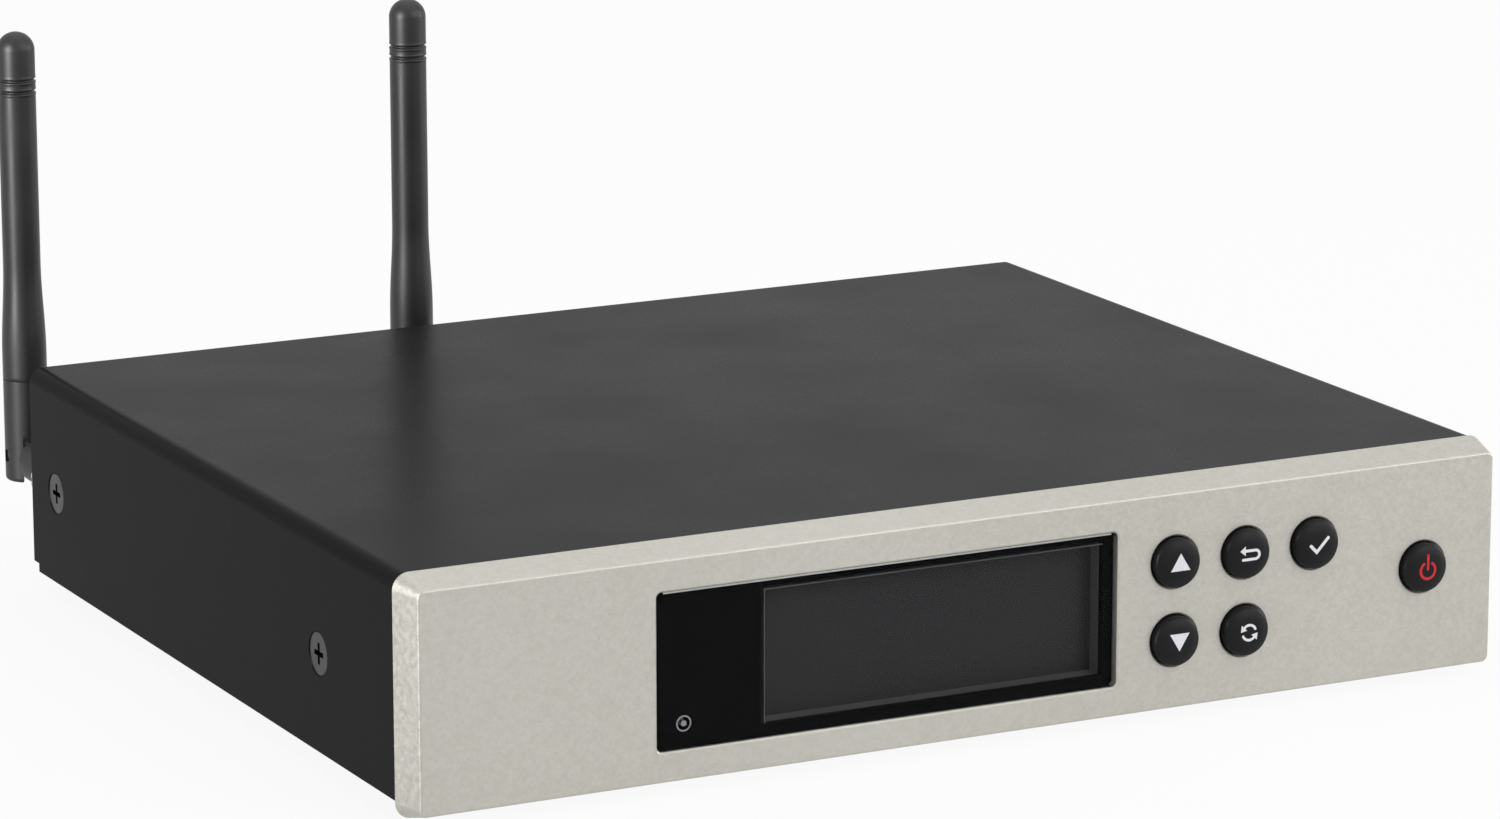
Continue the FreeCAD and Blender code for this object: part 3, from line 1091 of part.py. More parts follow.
def jack_output():
    """Round two-pole output: threaded bush, block on the board and a nut."""
    jack = body("jack_socket")
    neck = "(%s - 5)" % REAR_FRONT
    turned_along_y(jack, "jack_turn", "jack_x", "jack_z", [
        ("jack_bore", neck), ("jack_body / 2", neck), ("jack_body / 2", REAR_FRONT),
        ("jack_thread", REAR_FRONT), ("jack_thread", "case_depth + jack_proud"),
        ("jack_bore", "case_depth + jack_proud")])
    block = sketch(jack, "jack_block_outline", "XZ_Plane", ("0", "0", "-" + neck))
    rectangle(block, "jack_x - jack_body / 2", "jack_x + jack_body / 2", MAIN_BOARD_TOP,
              "jack_z + jack_body / 2")
    circle(block, "jack_x", "jack_z", "jack_bore")
    raised(jack, "jack_block", block, "%s - case_depth + jack_inside" % neck)
    blank = doc.addObject("Part::Prism", "jack_nut_blank")
    blank.Polygon = 6
    blank.Placement = Placement(Vector(), ALONG["y"])
    put(blank, "jack_x", "case_depth", "jack_z")
    bind(blank, Circumradius="jack_nut_radius", Height="jack_nut_sheet")
    hole = rod("jack_nut_hole", "y", ("jack_x", "case_depth - 1", "jack_z"),
               "jack_thread + screw_gap", "jack_nut_sheet + 2")
    finish("jack_nut", cut("jack_nut_cut", blank, hole))


def data_and_power():
    """The small data socket with its contacts, and the direct-current inlet with its pin."""
    data = body("data_socket")
    front = "(case_depth + data_proud)"
    outline = sketch(data, "data_outline", "XZ_Plane", ("0", "0", "-" + front))
    rectangle(outline, "data_x - data_wide / 2", "data_x + data_wide / 2", MAIN_BOARD_TOP,
              MAIN_BOARD_TOP + " + data_tall")
    raised(data, "data_block", outline, "data_inside + data_proud")
    low = "(%s + (data_tall - data_mouth_tall) / 2)" % MAIN_BOARD_TOP
    mouth = sketch(data, "data_mouth_outline", "XZ_Plane", ("0", "0", "-%s - 1" % front))
    rectangle(mouth, "data_x - data_mouth_wide / 2", "data_x + data_mouth_wide / 2", low,
              low + " + data_mouth_tall")
    sunk(data, "data_mouth", mouth, "data_mouth_deep + 1", backwards=True)
    latch = sketch(data, "data_latch_outline", "XZ_Plane", ("0", "0", "-%s - 1" % front))
    rectangle(latch, "data_x - data_mouth_wide / 5", "data_x + data_mouth_wide / 5",
              low + " + data_mouth_tall - 1", low + " + data_mouth_tall + 1.2")
    sunk(data, "data_latch", latch, "data_mouth_deep / 2 + 1", backwards=True)
    strips = []
    for number in range(4):
        middle = "data_x + (%s) * data_mouth_wide / 5" % (number - 1.5)
        strips.append(box("data_strip_%d" % number, (middle + " - 0.3", middle + " + 0.3"),
                          (front + " - data_mouth_deep", front + " - 2"), (low, low + " + 0.8")))
    finish("data_contacts", strips)
    inlet = body("dc_inlet")
    front = "(case_depth + dc_proud)"
    outline = sketch(inlet, "dc_outline", "XZ_Plane", ("0", "0", "-" + front))
    rectangle(outline, "dc_x - dc_wide / 2", "dc_x + dc_wide / 2", MAIN_BOARD_TOP,
              MAIN_BOARD_TOP + " + dc_tall")
    raised(inlet, "dc_block", outline, "dc_inside + dc_proud")
    middle = "(%s + dc_tall / 2)" % MAIN_BOARD_TOP
    bore = sketch(inlet, "dc_bore_outline", "XZ_Plane", ("0", "0", "-%s - 1" % front))
    circle(bore, "dc_x", middle, "dc_bore")
    sunk(inlet, "dc_bore_hole", bore, "dc_bore_deep + 1", backwards=True)
    finish("dc_pin", [rod("dc_pin_bar", "y", ("dc_x", front + " - dc_bore_deep", middle), "dc_pin",
                          "dc_bore_deep - 1")])


def cable_hook():
    """An upward hook that takes the pull off the power lead."""
    x = ("hook_x - hook_wide / 2", "hook_x + hook_wide / 2")
    base_back = "(case_depth + hook_sheet)"
    lip_front = "(case_depth + hook_sheet + hook_gap)"
    lip_back = "(case_depth + 2 * hook_sheet + hook_gap)"
    base = box("hook_base", x, ("case_depth", base_back), ("hook_low", "hook_high"))
    arm = box("hook_arm", x, ("case_depth", lip_back), ("hook_low", "hook_low + hook_sheet"))
    lip = box("hook_lip_bar", x, (lip_front, lip_back),
              ("hook_low", "hook_low + hook_sheet + hook_lip"))
    finish("cable_hook", fuse("cable_hook_whole", base, arm, lip))


# --------------------------------------------------------------------------------------------
# Build everything, check it, and write one file for each piece
# --------------------------------------------------------------------------------------------
front_panel()
top_cover()
bottom_tray()
rear_panel()
side_screws()
panel_screws()
rubber_feet()
display_window()
display_bezel()
display_module()
infrared_diode()
buttons()
key_switches()
boards()
spacers()
board_screws()
ribbon()
board_parts()
antenna_sockets()
antennas()
audio_output()
jack_output()
data_and_power()
cable_hook()
doc.recompute()

for thing in doc.Objects:
    if "Invalid" in thing.State or "Error" in thing.State:
        raise RuntimeError("%s did not build" % thing.Name)
os.makedirs("parts", exist_ok=True)
for piece in finished:
    shape = piece.Shape
    if shape.isNull() or not shape.isValid() or not shape.Solids:
        raise RuntimeError("%s has no valid solid" % piece.Label)
    shape.exportStep("parts/%s.step" % piece.Label)
    print("%-28s %2d solids %10.1f mm3" % (piece.Label, len(shape.Solids), shape.Volume))
print(len(finished), "pieces")
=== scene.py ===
# %% [markdown]
# # A half-rack wireless receiver with two aerials
# This lesson dresses a finished mechanical model in its real surfaces. The metalwork, sockets and
# boards come from the fixed frame, whose mesh is never touched. What the eye rests on is built
# here as surfaces worked out with numpy: the soft keys, the flared aerials, the prints, the
# display's surround and the screw threads. Each step says what a piece is on the real object,
# how it could be made, and why this way was chosen.

# %% The frame and the measuring box
import json
import bmesh
import bpy
import numpy as np
from mathutils import Matrix, Vector

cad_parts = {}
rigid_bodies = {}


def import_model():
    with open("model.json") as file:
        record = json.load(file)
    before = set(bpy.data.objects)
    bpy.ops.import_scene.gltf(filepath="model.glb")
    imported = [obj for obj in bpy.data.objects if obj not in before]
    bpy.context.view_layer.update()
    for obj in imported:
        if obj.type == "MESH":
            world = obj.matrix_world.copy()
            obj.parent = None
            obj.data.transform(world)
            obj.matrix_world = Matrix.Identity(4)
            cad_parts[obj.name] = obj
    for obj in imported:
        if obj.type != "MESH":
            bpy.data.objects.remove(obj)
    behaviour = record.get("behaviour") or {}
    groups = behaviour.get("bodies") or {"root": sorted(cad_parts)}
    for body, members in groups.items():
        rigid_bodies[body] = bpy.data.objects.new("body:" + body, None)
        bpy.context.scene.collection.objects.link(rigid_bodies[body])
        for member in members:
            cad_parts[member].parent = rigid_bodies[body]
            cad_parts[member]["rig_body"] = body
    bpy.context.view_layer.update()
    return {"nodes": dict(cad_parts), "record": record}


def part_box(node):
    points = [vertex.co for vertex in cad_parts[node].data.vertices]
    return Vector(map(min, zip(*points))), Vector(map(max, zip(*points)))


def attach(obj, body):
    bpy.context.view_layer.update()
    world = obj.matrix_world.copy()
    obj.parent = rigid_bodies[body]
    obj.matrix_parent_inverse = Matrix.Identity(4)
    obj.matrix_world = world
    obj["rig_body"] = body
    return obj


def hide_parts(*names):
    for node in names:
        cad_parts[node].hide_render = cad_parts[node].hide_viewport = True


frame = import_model()
MM = 0.001

# %% [markdown]
# ## The camera
# A small product stands in a studio, seen from its left front corner and a little above. The
# camera is far away with a long lens, so the case's edges stay almost parallel. A camera could be
# aimed with a constraint, but a direction worked out from two angles is easier to read and stays
# put when a view moves it.

# %% Camera
TURN, TILT, ROLL = np.radians([27.003, 13.387, -0.069])
CAMERA_PLACE = (-0.4946, -0.98997, 0.30146)
LENS_MM, SENSOR_MM = 147.79, 36.0
forward = Vector((np.sin(TURN) * np.cos(TILT), np.cos(TURN) * np.cos(TILT), -np.sin(TILT)))
across = forward.cross(Vector((0, 0, 1))).normalized()
upward = across.cross(forward)
aim = Matrix((across, upward, -forward)).transposed() @ Matrix.Rotation(ROLL, 3, "Z")
camera = bpy.data.objects.new("camera", bpy.data.cameras.new("camera"))
camera.matrix_world = Matrix.Translation(CAMERA_PLACE) @ aim.to_4x4()
camera.data.lens = LENS_MM
camera.data.sensor_width = SENSOR_MM
camera.data.clip_start = 0.05
camera.data.clip_end = 50.0
bpy.context.scene.collection.objects.link(camera)
bpy.context.scene.camera = camera
print("camera looks along", [round(part, 3) for part in forward])

# %% [markdown]
# ## Small tools for materials
# Every finish in this lesson grows from the same few nodes: noise in the object's own
# coordinates, a range that turns noise into roughness, a mix that turns it into colour, and a
# bump. A chain of helper functions keeps each finish down to a few lines. `Object` coordinates
# are used because they stay on the surface when a joint moves the piece.
#
# Colours are written as a screen shows them, since that is how one compares them by eye. A
# shader adds and multiplies light, so it wants them linear, and one function does the change.

# %% Colours as a screen shows them
def screen(red, green, blue):
    """A colour as a screen shows it, 0 to 255, turned into the linear colour shaders use."""
    share = np.array([red, green, blue]) / 255.0
    linear = np.where(share <= 0.04045, share / 12.92, ((share + 0.055) / 1.055) ** 2.4)
    return (*linear.tolist(), 1.0)


print("colour check, mid grey:", [round(part, 3) for part in screen(128, 128, 128)])

# %% [markdown]
# The second helper is a material that knows its own shader. Its methods are the few steps that
# every finish needs, so that a recipe reads as a list of what the surface is made of.

# %% Node helpers
class Finish:
    """A material with one Principled shader, and short names for the nodes that feed it."""

    def __init__(self, name, rough=0.5, metal=0.0, index=1.45):
        self.material = bpy.data.materials.new(name)
        self.material.use_nodes = True
        self.tree = self.material.node_tree
        self.shader = self.tree.nodes["Principled BSDF"]
        self.shader.inputs["Metallic"].default_value = metal
        self.shader.inputs["Roughness"].default_value = rough
        self.shader.inputs["IOR"].default_value = index
        self.where = self.tree.nodes.new("ShaderNodeTexCoord").outputs["Object"]

    def feed(self, socket, value):
        """Link a socket to another node's output, or set it to a plain value."""
        if isinstance(value, bpy.types.NodeSocket):
            self.tree.links.new(value, socket)
        else:
            socket.default_value = value

    def node(self, kind, settings=(), **values):
        """One node with its settings and input values; an underscore stands for a space."""
        made = self.tree.nodes.new("ShaderNode" + kind)
        for name, setting in dict(settings).items():
            setattr(made, name, setting)
        for name, value in values.items():
            self.feed(made.inputs[name.replace("_", " ")], value)
        return made

    def stretched(self, x=1.0, y=1.0, z=1.0):
        """Object coordinates scaled by three factors, to draw a grain out along an axis."""
        return self.node("Mapping", Vector=self.where, Scale=(x, y, z)).outputs["Vector"]

    def noise(self, size, detail=2.0, where=None):
        """Soft random patches, size metres across, from 0 to 1."""
        return self.node("TexNoise", Vector=where or self.where, Scale=1.0 / size,
                         Detail=detail).outputs["Fac"]

    def flakes(self, size):
        """Random little cells, size metres across, each with its own grey."""
        cells = self.node("TexVoronoi", Vector=self.where, Scale=1.0 / size)
        return self.node("SeparateColor", Color=cells.outputs["Color"]).outputs["Red"]

    def ranged(self, value, low, high, first=0.3, last=0.7):
        """A value that runs from first to last, stretched to run from low to high."""
        made = self.node("MapRange", Value=value)
        for name, number in (("From Min", first), ("From Max", last), ("To Min", low),
                             ("To Max", high)):
            made.inputs[name].default_value = number
        return made.outputs["Result"]

    def sum(self, first, second, operation="ADD"):
        """Two values put together by one step of arithmetic."""
        made = self.node("Math", {"operation": operation})
        self.feed(made.inputs[0], first)
        self.feed(made.inputs[1], second)
        return made.outputs["Value"]

    def blend(self, share, first, second):
        """A colour between two, by a share from 0 to 1."""
        made = self.node("Mix", {"data_type": "RGBA"})
        self.feed(made.inputs["Factor"], share)
        self.feed(made.inputs[6], first)
        self.feed(made.inputs[7], second)
        return made.outputs[2]

    def colour(self, value):
        self.feed(self.shader.inputs["Base Color"], value)

    def rough(self, value):
        self.feed(self.shader.inputs["Roughness"], value)

    def bump(self, height, depth):
        """Relief of depth metres where the height runs from 0 to 1."""
        made = self.node("Bump", Height=height)
        made.inputs["Strength"].default_value = 1.0
        made.inputs["Distance"].default_value = depth
        self.feed(self.shader.inputs["Normal"], made.outputs["Normal"])


finishes = {}
print("finish helpers ready")

# %% [markdown]
# ## The cast front
# The front is a die casting with a satin champagne lacquer full of fine metal flakes. Seen close
# it isn't one colour: flakes of half a millimetre catch the light one by one, and the lacquer
# drifts from cool to warm over a few centimetres. An image could carry that, but cells and noise
# in the piece's own space have no seam at the folded edges. It is half metal, because lacquer
# over flakes mirrors less than bare metal does.

# %% Champagne lacquer
def champagne():
    """Flakes, a fine grain and a slow drift laid over each other."""
    paint = Finish("panel_silver", rough=0.42, metal=0.4, index=1.3)
    drift = paint.ranged(paint.noise(0.09, 1.0), 0.0, 1.0)
    base = paint.blend(drift, screen(192, 190, 181), screen(184, 181, 172))
    flake = paint.ranged(paint.flakes(0.00042), 0.0, 1.0, 0.0, 1.0)
    grain = paint.noise(0.0011, 3.0)
    sparkle = paint.sum(paint.sum(flake, 0.45, "MULTIPLY"), paint.ranged(grain, 0.0, 0.55))
    paint.colour(paint.blend(paint.ranged(sparkle, 0.0, 0.5, 0.0, 1.0), base,
                             screen(212, 210, 203)))
    paint.rough(paint.ranged(grain, 0.36, 0.5))
    paint.bump(paint.sum(flake, grain), 0.000004)
    return paint


finishes["panel_silver"] = champagne()
print("front lacquer ready")

# %% [markdown]
# ## Powder coat
# The cover, tray and rear plate are folded steel with a fine black powder coat. The powder melts
# into tiny domes, which is what breaks the reflection up into an even sheen. Two sizes of noise
# do that: domes of a third of a millimetre, and slow patches where the coat lies thicker.

# %% Powder-coated steel
def powder_coat(name, dark, light, rough, index, dome=0.00034, depth=0.000006):
    coat = Finish(name, index=index)
    domes = coat.noise(dome, 2.0)
    patches = coat.noise(0.03, 2.0)
    mixed = coat.sum(coat.ranged(domes, 0.0, 0.5), coat.ranged(patches, 0.0, 0.5))
    coat.colour(coat.blend(mixed, dark, light))
    coat.rough(coat.sum(coat.ranged(patches, rough - 0.03, rough + 0.03),
                        coat.ranged(domes, -0.03, 0.03)))
    coat.bump(domes, depth)
    return coat


finishes["cover_black"] = powder_coat("cover_black", screen(25, 25, 26), screen(31, 31, 31),
                                      0.3, 1.075)
finishes["tray_black"] = powder_coat("tray_black", screen(22, 22, 23), screen(30, 30, 30),
                                     0.5, 1.2)
finishes["rear_black"] = powder_coat("rear_black", screen(24, 24, 25), screen(32, 32, 33),
                                     0.45, 1.25)
finishes["hook_black"] = powder_coat("hook_black", screen(24, 24, 25), screen(32, 32, 33),
                                     0.45, 1.3, dome=0.0005)
print("powder coats ready")

# %% [markdown]
# ## Moulded plastics and rubber
# Keys, aerials and feet are moulded. A mould is blasted or etched so that parts come out with a
# fine, even texture, and rubber is duller than hard plastic because its texture is deeper.
# One recipe serves all of them: a texture size, a depth and how far the roughness wanders.

# %% Moulded parts
def moulded(name, dark, light, rough, texture, depth, index=1.45, wander=0.05):
    plastic = Finish(name, index=index)
    etch = plastic.noise(texture, 2.0)
    cloud = plastic.noise(texture * 30, 2.0)
    plastic.colour(plastic.blend(plastic.ranged(plastic.sum(etch, cloud), 0.0, 1.0, 0.7, 1.3),
                                 dark, light))
    plastic.rough(plastic.ranged(cloud, rough - wander, rough + wander))
    plastic.bump(etch, depth)
    return plastic


# name, darkest and lightest tone, roughness, texture size and depth in metres, index
MOULDED = (
    ("button_rubber", (17, 17, 19), (24, 24, 26), 0.45, 0.00022, 0.000006, 1.25),
    ("antenna_rubber", (26, 26, 27), (33, 33, 34), 0.42, 0.0004, 0.000002, 1.45),
    ("antenna_plastic", (26, 26, 27), (33, 33, 34), 0.42, 0.0004, 0.000002, 1.45),
    ("ring_black", (18, 18, 19), (25, 25, 26), 0.4, 0.0004, 0.000004, 1.3),
    ("foot_rubber", (22, 22, 22), (30, 30, 30), 0.8, 0.0006, 0.00002, 1.2),
    ("bezel_black", (15, 15, 15), (19, 19, 19), 0.5, 0.0003, 0.000004, 1.05),
    ("switch_black", (24, 24, 25), (32, 32, 33), 0.5, 0.0005, 0.000006, 1.4),
    ("xlr_black", (22, 22, 23), (31, 31, 32), 0.42, 0.0006, 0.000008, 1.35),
    ("socket_plastic", (18, 18, 19), (26, 26, 27), 0.5, 0.0005, 0.000008, 1.35),
    ("connector_cream", (214, 205, 182), (224, 217, 196), 0.5, 0.0007, 0.000006, 1.45),
    ("insulator_white", (222, 221, 214), (232, 231, 226), 0.45, 0.0006, 0.000003, 1.4),
    ("diode_smoke", (22, 17, 24), (30, 22, 30), 0.12, 0.0009, 0.000001, 1.5),
    ("light_guide", (226, 227, 222), (236, 237, 233), 0.35, 0.0008, 0.000003, 1.45),
    ("chip_black", (28, 28, 29), (38, 38, 38), 0.6, 0.0003, 0.000008, 1.4))
for name, dark, light, *values in MOULDED:
    finishes[name] = moulded(name, screen(*dark), screen(*light), *values)
print("moulded finishes:", len(MOULDED))

# %% [markdown]
# ## Plated and blackened metal
# Screws, nuts and connector parts are turned or pressed and then plated. Turning leaves fine
# rings and plating leaves a slightly uneven mirror, so the roughness carries most of the detail
# and the colour only a little. Handling leaves duller smudges, larger than a fingertip's ridge.

# %% Metals
def plated(name, dark, light, rough, metal=1.0, wander=0.08, scratch=0.00025):
    finish = Finish(name, metal=metal)
    smudge = finish.noise(0.004, 3.0)
    turning = finish.noise(scratch, 3.0, finish.stretched(1.0, 6.0, 1.0))
    finish.colour(finish.blend(finish.ranged(smudge, 0.0, 1.0), dark, light))
    finish.rough(finish.sum(finish.ranged(smudge, rough - wander, rough + wander),
                            finish.ranged(turning, -0.04, 0.04)))
    finish.bump(turning, 0.0000015)
    return finish


# name, darkest and lightest tone, roughness, share of metal
PLATED = (
    ("screw_black", (26, 26, 27), (38, 38, 39), 0.3, 0.7),
    ("screw_zinc", (168, 168, 160), (196, 196, 190), 0.32, 1.0),
    ("socket_nickel", (176, 172, 164), (206, 203, 196), 0.34, 1.0),
    ("contact_gold", (206, 164, 88), (226, 188, 112), 0.22, 1.0),
    ("contact_silver", (196, 196, 194), (220, 220, 218), 0.25, 1.0),
    ("can_tin", (170, 172, 172), (198, 200, 200), 0.35, 1.0))
for name, dark, light, rough, metal in PLATED:
    finishes[name] = plated(name, screen(*dark), screen(*light), rough, metal)
print("metal finishes:", len(PLATED))

# %% [markdown]
# ## Boards, ribbon, capacitors and the transformer
# Nobody sees the inside until the cover is off, yet a repairer knows each piece by its surface:
# green resist with tracks under it, a white ribbon with its grey cores, sleeved capacitors and
# a laminated core. Square cells make the tracks, and bands along one axis make the cores and
# the laminations.

# %% Inner finishes
def banded(name, axis, pitch, dark, light, rough, sharp=0.1, metal=0.0):
    """Bands of one pitch across an axis: a wave that is cut to a soft square."""
    finish = Finish(name, metal=metal)
    place = finish.node("SeparateXYZ", Vector=finish.where).outputs[axis]
    wave = finish.sum(finish.sum(place, 2 * np.pi / pitch, "MULTIPLY"), 0.0, "SINE")
    bands = finish.ranged(wave, 0.0, 1.0, -sharp, sharp)
    finish.colour(finish.blend(bands, dark, light))
    finish.rough(finish.ranged(finish.noise(0.002), rough - 0.06, rough + 0.06))
    finish.bump(bands, 0.00004)
    return finish


TRACK_CELLS = 380.0     # cells in a metre of board
CORE_PITCH, LAMINATION = 0.00127, 0.0008


def circuit_board():
    """Green resist over copper: square cells whose borders read as tracks and pads."""
    board = Finish("board_green", rough=0.35)
    cells = board.node("TexVoronoi", {"distance": "CHEBYCHEV", "feature": "F1"},
                       Vector=board.where, Scale=TRACK_CELLS).outputs["Distance"]
    tracks = board.ranged(cells, 0.0, 1.0, 0.34, 0.42)
    weave = board.noise(0.0006)
    board.colour(board.blend(tracks, screen(18, 66, 40), screen(38, 102, 62)))
    board.rough(board.ranged(weave, 0.28, 0.42))
    board.bump(board.sum(tracks, board.sum(weave, 0.3, "MULTIPLY")), 0.00003)
    return board


finishes["board_green"] = circuit_board()
finishes["ribbon_white"] = banded("ribbon_white", "X", CORE_PITCH, screen(196, 196, 192),
                                  screen(228, 228, 224), 0.45, sharp=0.8)
finishes["transformer_core"] = banded("transformer_core", "X", LAMINATION, screen(52, 46, 42),
                                      screen(92, 84, 76), 0.5, sharp=0.5, metal=0.4)
finishes["capacitor_black"] = moulded("capacitor_black", screen(22, 24, 34),
                                      screen(34, 36, 48), 0.3, 0.0015, 0.000004)
print("inner finishes ready")

# %% [markdown]
# ## The display and its window
# The display is switched off, so it shows the plain dark grey of its polariser over a faint grid
# of dots. In front of it lies a clear acrylic window whose border is printed black behind. Glass
# in a path tracer blocks lamps, which would leave the display in the dark, so the shader lets
# shadow rays through. A low index keeps its mirror image of the white studio faint, as an
# anti-glare coating does.

# %% Display finishes
DOT_PITCH = 0.00036
WINDOW_INDEX = 1.1


def display_off():
    """Polariser grey with a grid of dots, faint as they are when nothing is lit."""
    glass = Finish("lcd_grey", rough=0.3, index=1.1)
    place = glass.node("SeparateXYZ", Vector=glass.where)
    dots = [glass.sum(glass.sum(place.outputs[axis], 2 * np.pi / DOT_PITCH, "MULTIPLY"), 0.0,
                      "SINE") for axis in ("X", "Z")]
    grid = glass.ranged(glass.sum(*dots), 0.0, 1.0, -2.0, 2.0)
    haze = glass.ranged(glass.noise(0.02), 0.0, 1.0, 0.1, 0.9)
    glass.colour(glass.blend(glass.sum(glass.sum(grid, 0.3, "MULTIPLY"),
                                       glass.sum(haze, 0.7, "MULTIPLY")),
                             screen(55, 55, 55), screen(58, 58, 58)))
    glass.rough(glass.ranged(haze, 0.29, 0.33))
    glass.bump(grid, 0.0000005)
    return glass


def clear_window():
    """Thin clear acrylic that mirrors a little, and lets lamps light what is behind it."""
    pane = Finish("window_clear")
    pane.tree.nodes.remove(pane.shader)
    smear = pane.ranged(pane.noise(0.012, 3.0), 0.03, 0.05, 0.1, 0.9)
    shine = pane.node("BsdfAnisotropic", Color=(1, 1, 1, 1), Roughness=smear)
    ripple = pane.node("Bump", Height=pane.noise(0.02))
    ripple.inputs["Distance"].default_value = 0.000003
    pane.feed(shine.inputs["Normal"], ripple.outputs["Normal"])
    through = pane.node("BsdfTransparent", Color=(0.97, 0.97, 0.98, 1))
    share = pane.node("Fresnel", IOR=WINDOW_INDEX).outputs["Fac"]
    mixed = pane.node("MixShader")
    pane.feed(mixed.inputs[0], share)
    pane.feed(mixed.inputs[1], through.outputs[0])
    pane.feed(mixed.inputs[2], shine.outputs[0])
    pane.feed(pane.tree.nodes["Material Output"].inputs["Surface"], mixed.outputs[0])
    return pane


finishes["lcd_grey"] = display_off()
finishes["window_clear"] = clear_window()
print("display finishes ready")

# %% [markdown]
# ## Printing ink
# The marks on the keys are pad-printed. Ink on a textured key is slightly uneven, so the white
# and the red both wander a little in tone and lie a little rough. A grey ink serves the small
# mark behind the window, where white would glare.

# %% Inks
def ink(name, dark, light, rough=0.5):
    made = Finish(name, rough=rough, index=1.3)
    cover = made.noise(0.0006, 2.0)
    made.colour(made.blend(made.ranged(cover, 0.0, 1.0), dark, light))
    made.rough(made.ranged(cover, rough - 0.08, rough + 0.08))
    made.bump(cover, 0.000004)
    return made


for name, dark, light in (("mark_white", (228, 228, 234), (240, 240, 244)),
                          ("mark_red", (190, 40, 48), (214, 52, 60)),
                          ("mark_grey", (150, 150, 152), (172, 172, 174))):
    finishes[name] = ink(name, screen(*dark), screen(*light))
print("inks ready")

# %% [markdown]
# ## Three finishes for small places
# The frame that lines the display's opening is given a mid grey, lighter than the black border,
# so that it shows as a pale ledge round the display. The hinge pins of the aerials are blackened
# and a little shinier than the rubber round them. The window's top edge gets a painted highlight:
# a clear edge catches the lamps only in a few directions, so a pale strip paints its fine bright
# line, which shows from all of them.

# %% Surround, hinge pins and painted edge highlight
# A plain mid grey, lighter than the black border, for the frame round the display.
finishes["surround_grey"] = moulded("surround_grey", screen(96, 96, 96), screen(104, 104, 104), 0.5,
                                    0.0004, 0.000004, 1.2)
finishes["pin_black"] = moulded("pin_black", screen(20, 20, 21), screen(27, 27, 28), 0.35,
                                0.0005, 0.000003, 1.4)
# Painted highlight: a pale finish that stands in for the lamps' bright line on the window's bevel.
finishes["painted_edge_highlight"] = moulded("painted_edge_highlight", screen(186, 187, 186), screen(206, 206, 204),
                                  0.3, 0.0008, 0.000002)
print(len(finishes), "finishes in all")

# %% [markdown]
# ## Every frame piece gets its finish
# The record says which finish each node takes. Walking through that list once means that no
# hidden screw or chip is forgotten.

# %% Finishes on the frame's nodes
slots = {part["node"]: part["material_slot"] for part in frame["record"]["subparts"]}
for node, made in frame["nodes"].items():
    made.data.materials.clear()
    made.data.materials.append(finishes[slots[node]].material)
for side in ("left", "centre"):
    frame["nodes"][side + "_hinge_pin"].data.materials[0] = finishes["pin_black"].material
body_of = {node: made["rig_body"] for node, made in frame["nodes"].items()}
print("finishes set on", len(slots), "nodes")

# %% [markdown]
# ## Small tools for surfaces
# A new piece is a grid of points: one parameter runs along a profile and the other carries that
# profile round a circle or an outline. All points are worked out at once as arrays, and the
# faces follow from how rows and columns are numbered. Rows that shrink to a point are merged
# afterwards, so poles are closed.

# %% Grid helpers
def woven(rows, columns):
    """Faces of a grid whose columns close into a ring: each joins a point, the next one in its
    row, and the same two in the next row."""
    row, column = np.meshgrid(np.arange(rows - 1), np.arange(columns), indexing="ij")
    after = (column + 1) % columns
    corners = (row * columns + column, row * columns + after, (row + 1) * columns + after,
               (row + 1) * columns + column)
    return np.stack(corners, axis=-1).reshape(-1, 4).tolist()


def add_piece(name, points, faces, slot, body, replaces=(), finish=None, crease=38.0):
    """Make a mesh piece, close it, face it outwards, smooth it, and hang it on its body."""
    mesh = bpy.data.meshes.new(name)
    mesh.from_pydata(np.asarray(points, float).reshape(-1, 3).tolist(), [], faces)
    shape = bmesh.new()
    shape.from_mesh(mesh)
    bmesh.ops.remove_doubles(shape, verts=shape.verts, dist=2e-7)
    bmesh.ops.dissolve_degenerate(shape, edges=shape.edges, dist=1e-8)
    bmesh.ops.recalc_face_normals(shape, faces=shape.faces)
    shape.to_mesh(mesh)
    shape.free()
    mesh.shade_smooth()
    mesh.set_sharp_from_angle(angle=np.radians(crease))
    piece = bpy.data.objects.new(name, mesh)
    bpy.context.scene.collection.objects.link(piece)
    mesh.materials.append(finishes[finish or slot].material)
    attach(piece, body)
    if replaces:
        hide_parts(*replaces)
    return piece


def softened(corners, reach, steps=7):
    """A chain of straight runs with rounded corners. Near a corner, the point slides from one run
    to the next as a blend of three: the run's end, the corner and the next run's start, with
    weights (1 - t) squared, 2 t (1 - t) and t squared."""
    corners = np.asarray(corners, float)
    share = np.linspace(0, 1, steps)[:, None]
    chain = [corners[:1]]
    for number, distance in zip(range(1, len(corners) - 1), reach):
        corner = corners[number]
        back = corners[number - 1] - corner
        ahead = corners[number + 1] - corner
        start = corner + back / np.linalg.norm(back) * distance
        end = corner + ahead / np.linalg.norm(ahead) * distance
        chain.append((1 - share) ** 2 * start + 2 * share * (1 - share) * corner
                     + share ** 2 * end if distance else corner[None])
    return np.concatenate(chain + [corners[-1:]])


def turned(profile, centre, axis, sides=72):
    """Surface of revolution: a profile point (radius, height) at angle a lies at the centre plus
    radius times (cos a, sin a) across the axis, and height along it."""
    angle = np.linspace(0, 2 * np.pi, sides, endpoint=False)
    radius, height = np.asarray(profile, float).T[:, :, None] * MM
    first = radius * np.cos(angle)
    second = radius * np.sin(angle)
    along = height + 0 * angle
    order = {"Y": (first, along, second), "Z": (first, second, along)}[axis]
    return np.stack(order, axis=-1) + np.asarray(centre, float), woven(len(radius), sides)


def middle(node):
    """The middle of a node's box, and the box itself, in metres."""
    low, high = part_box(node)
    return (low + high) / 2, low, high


print("a softened corner has", len(softened([(0, 0), (1, 0), (1, 1)], [0.3])), "points")

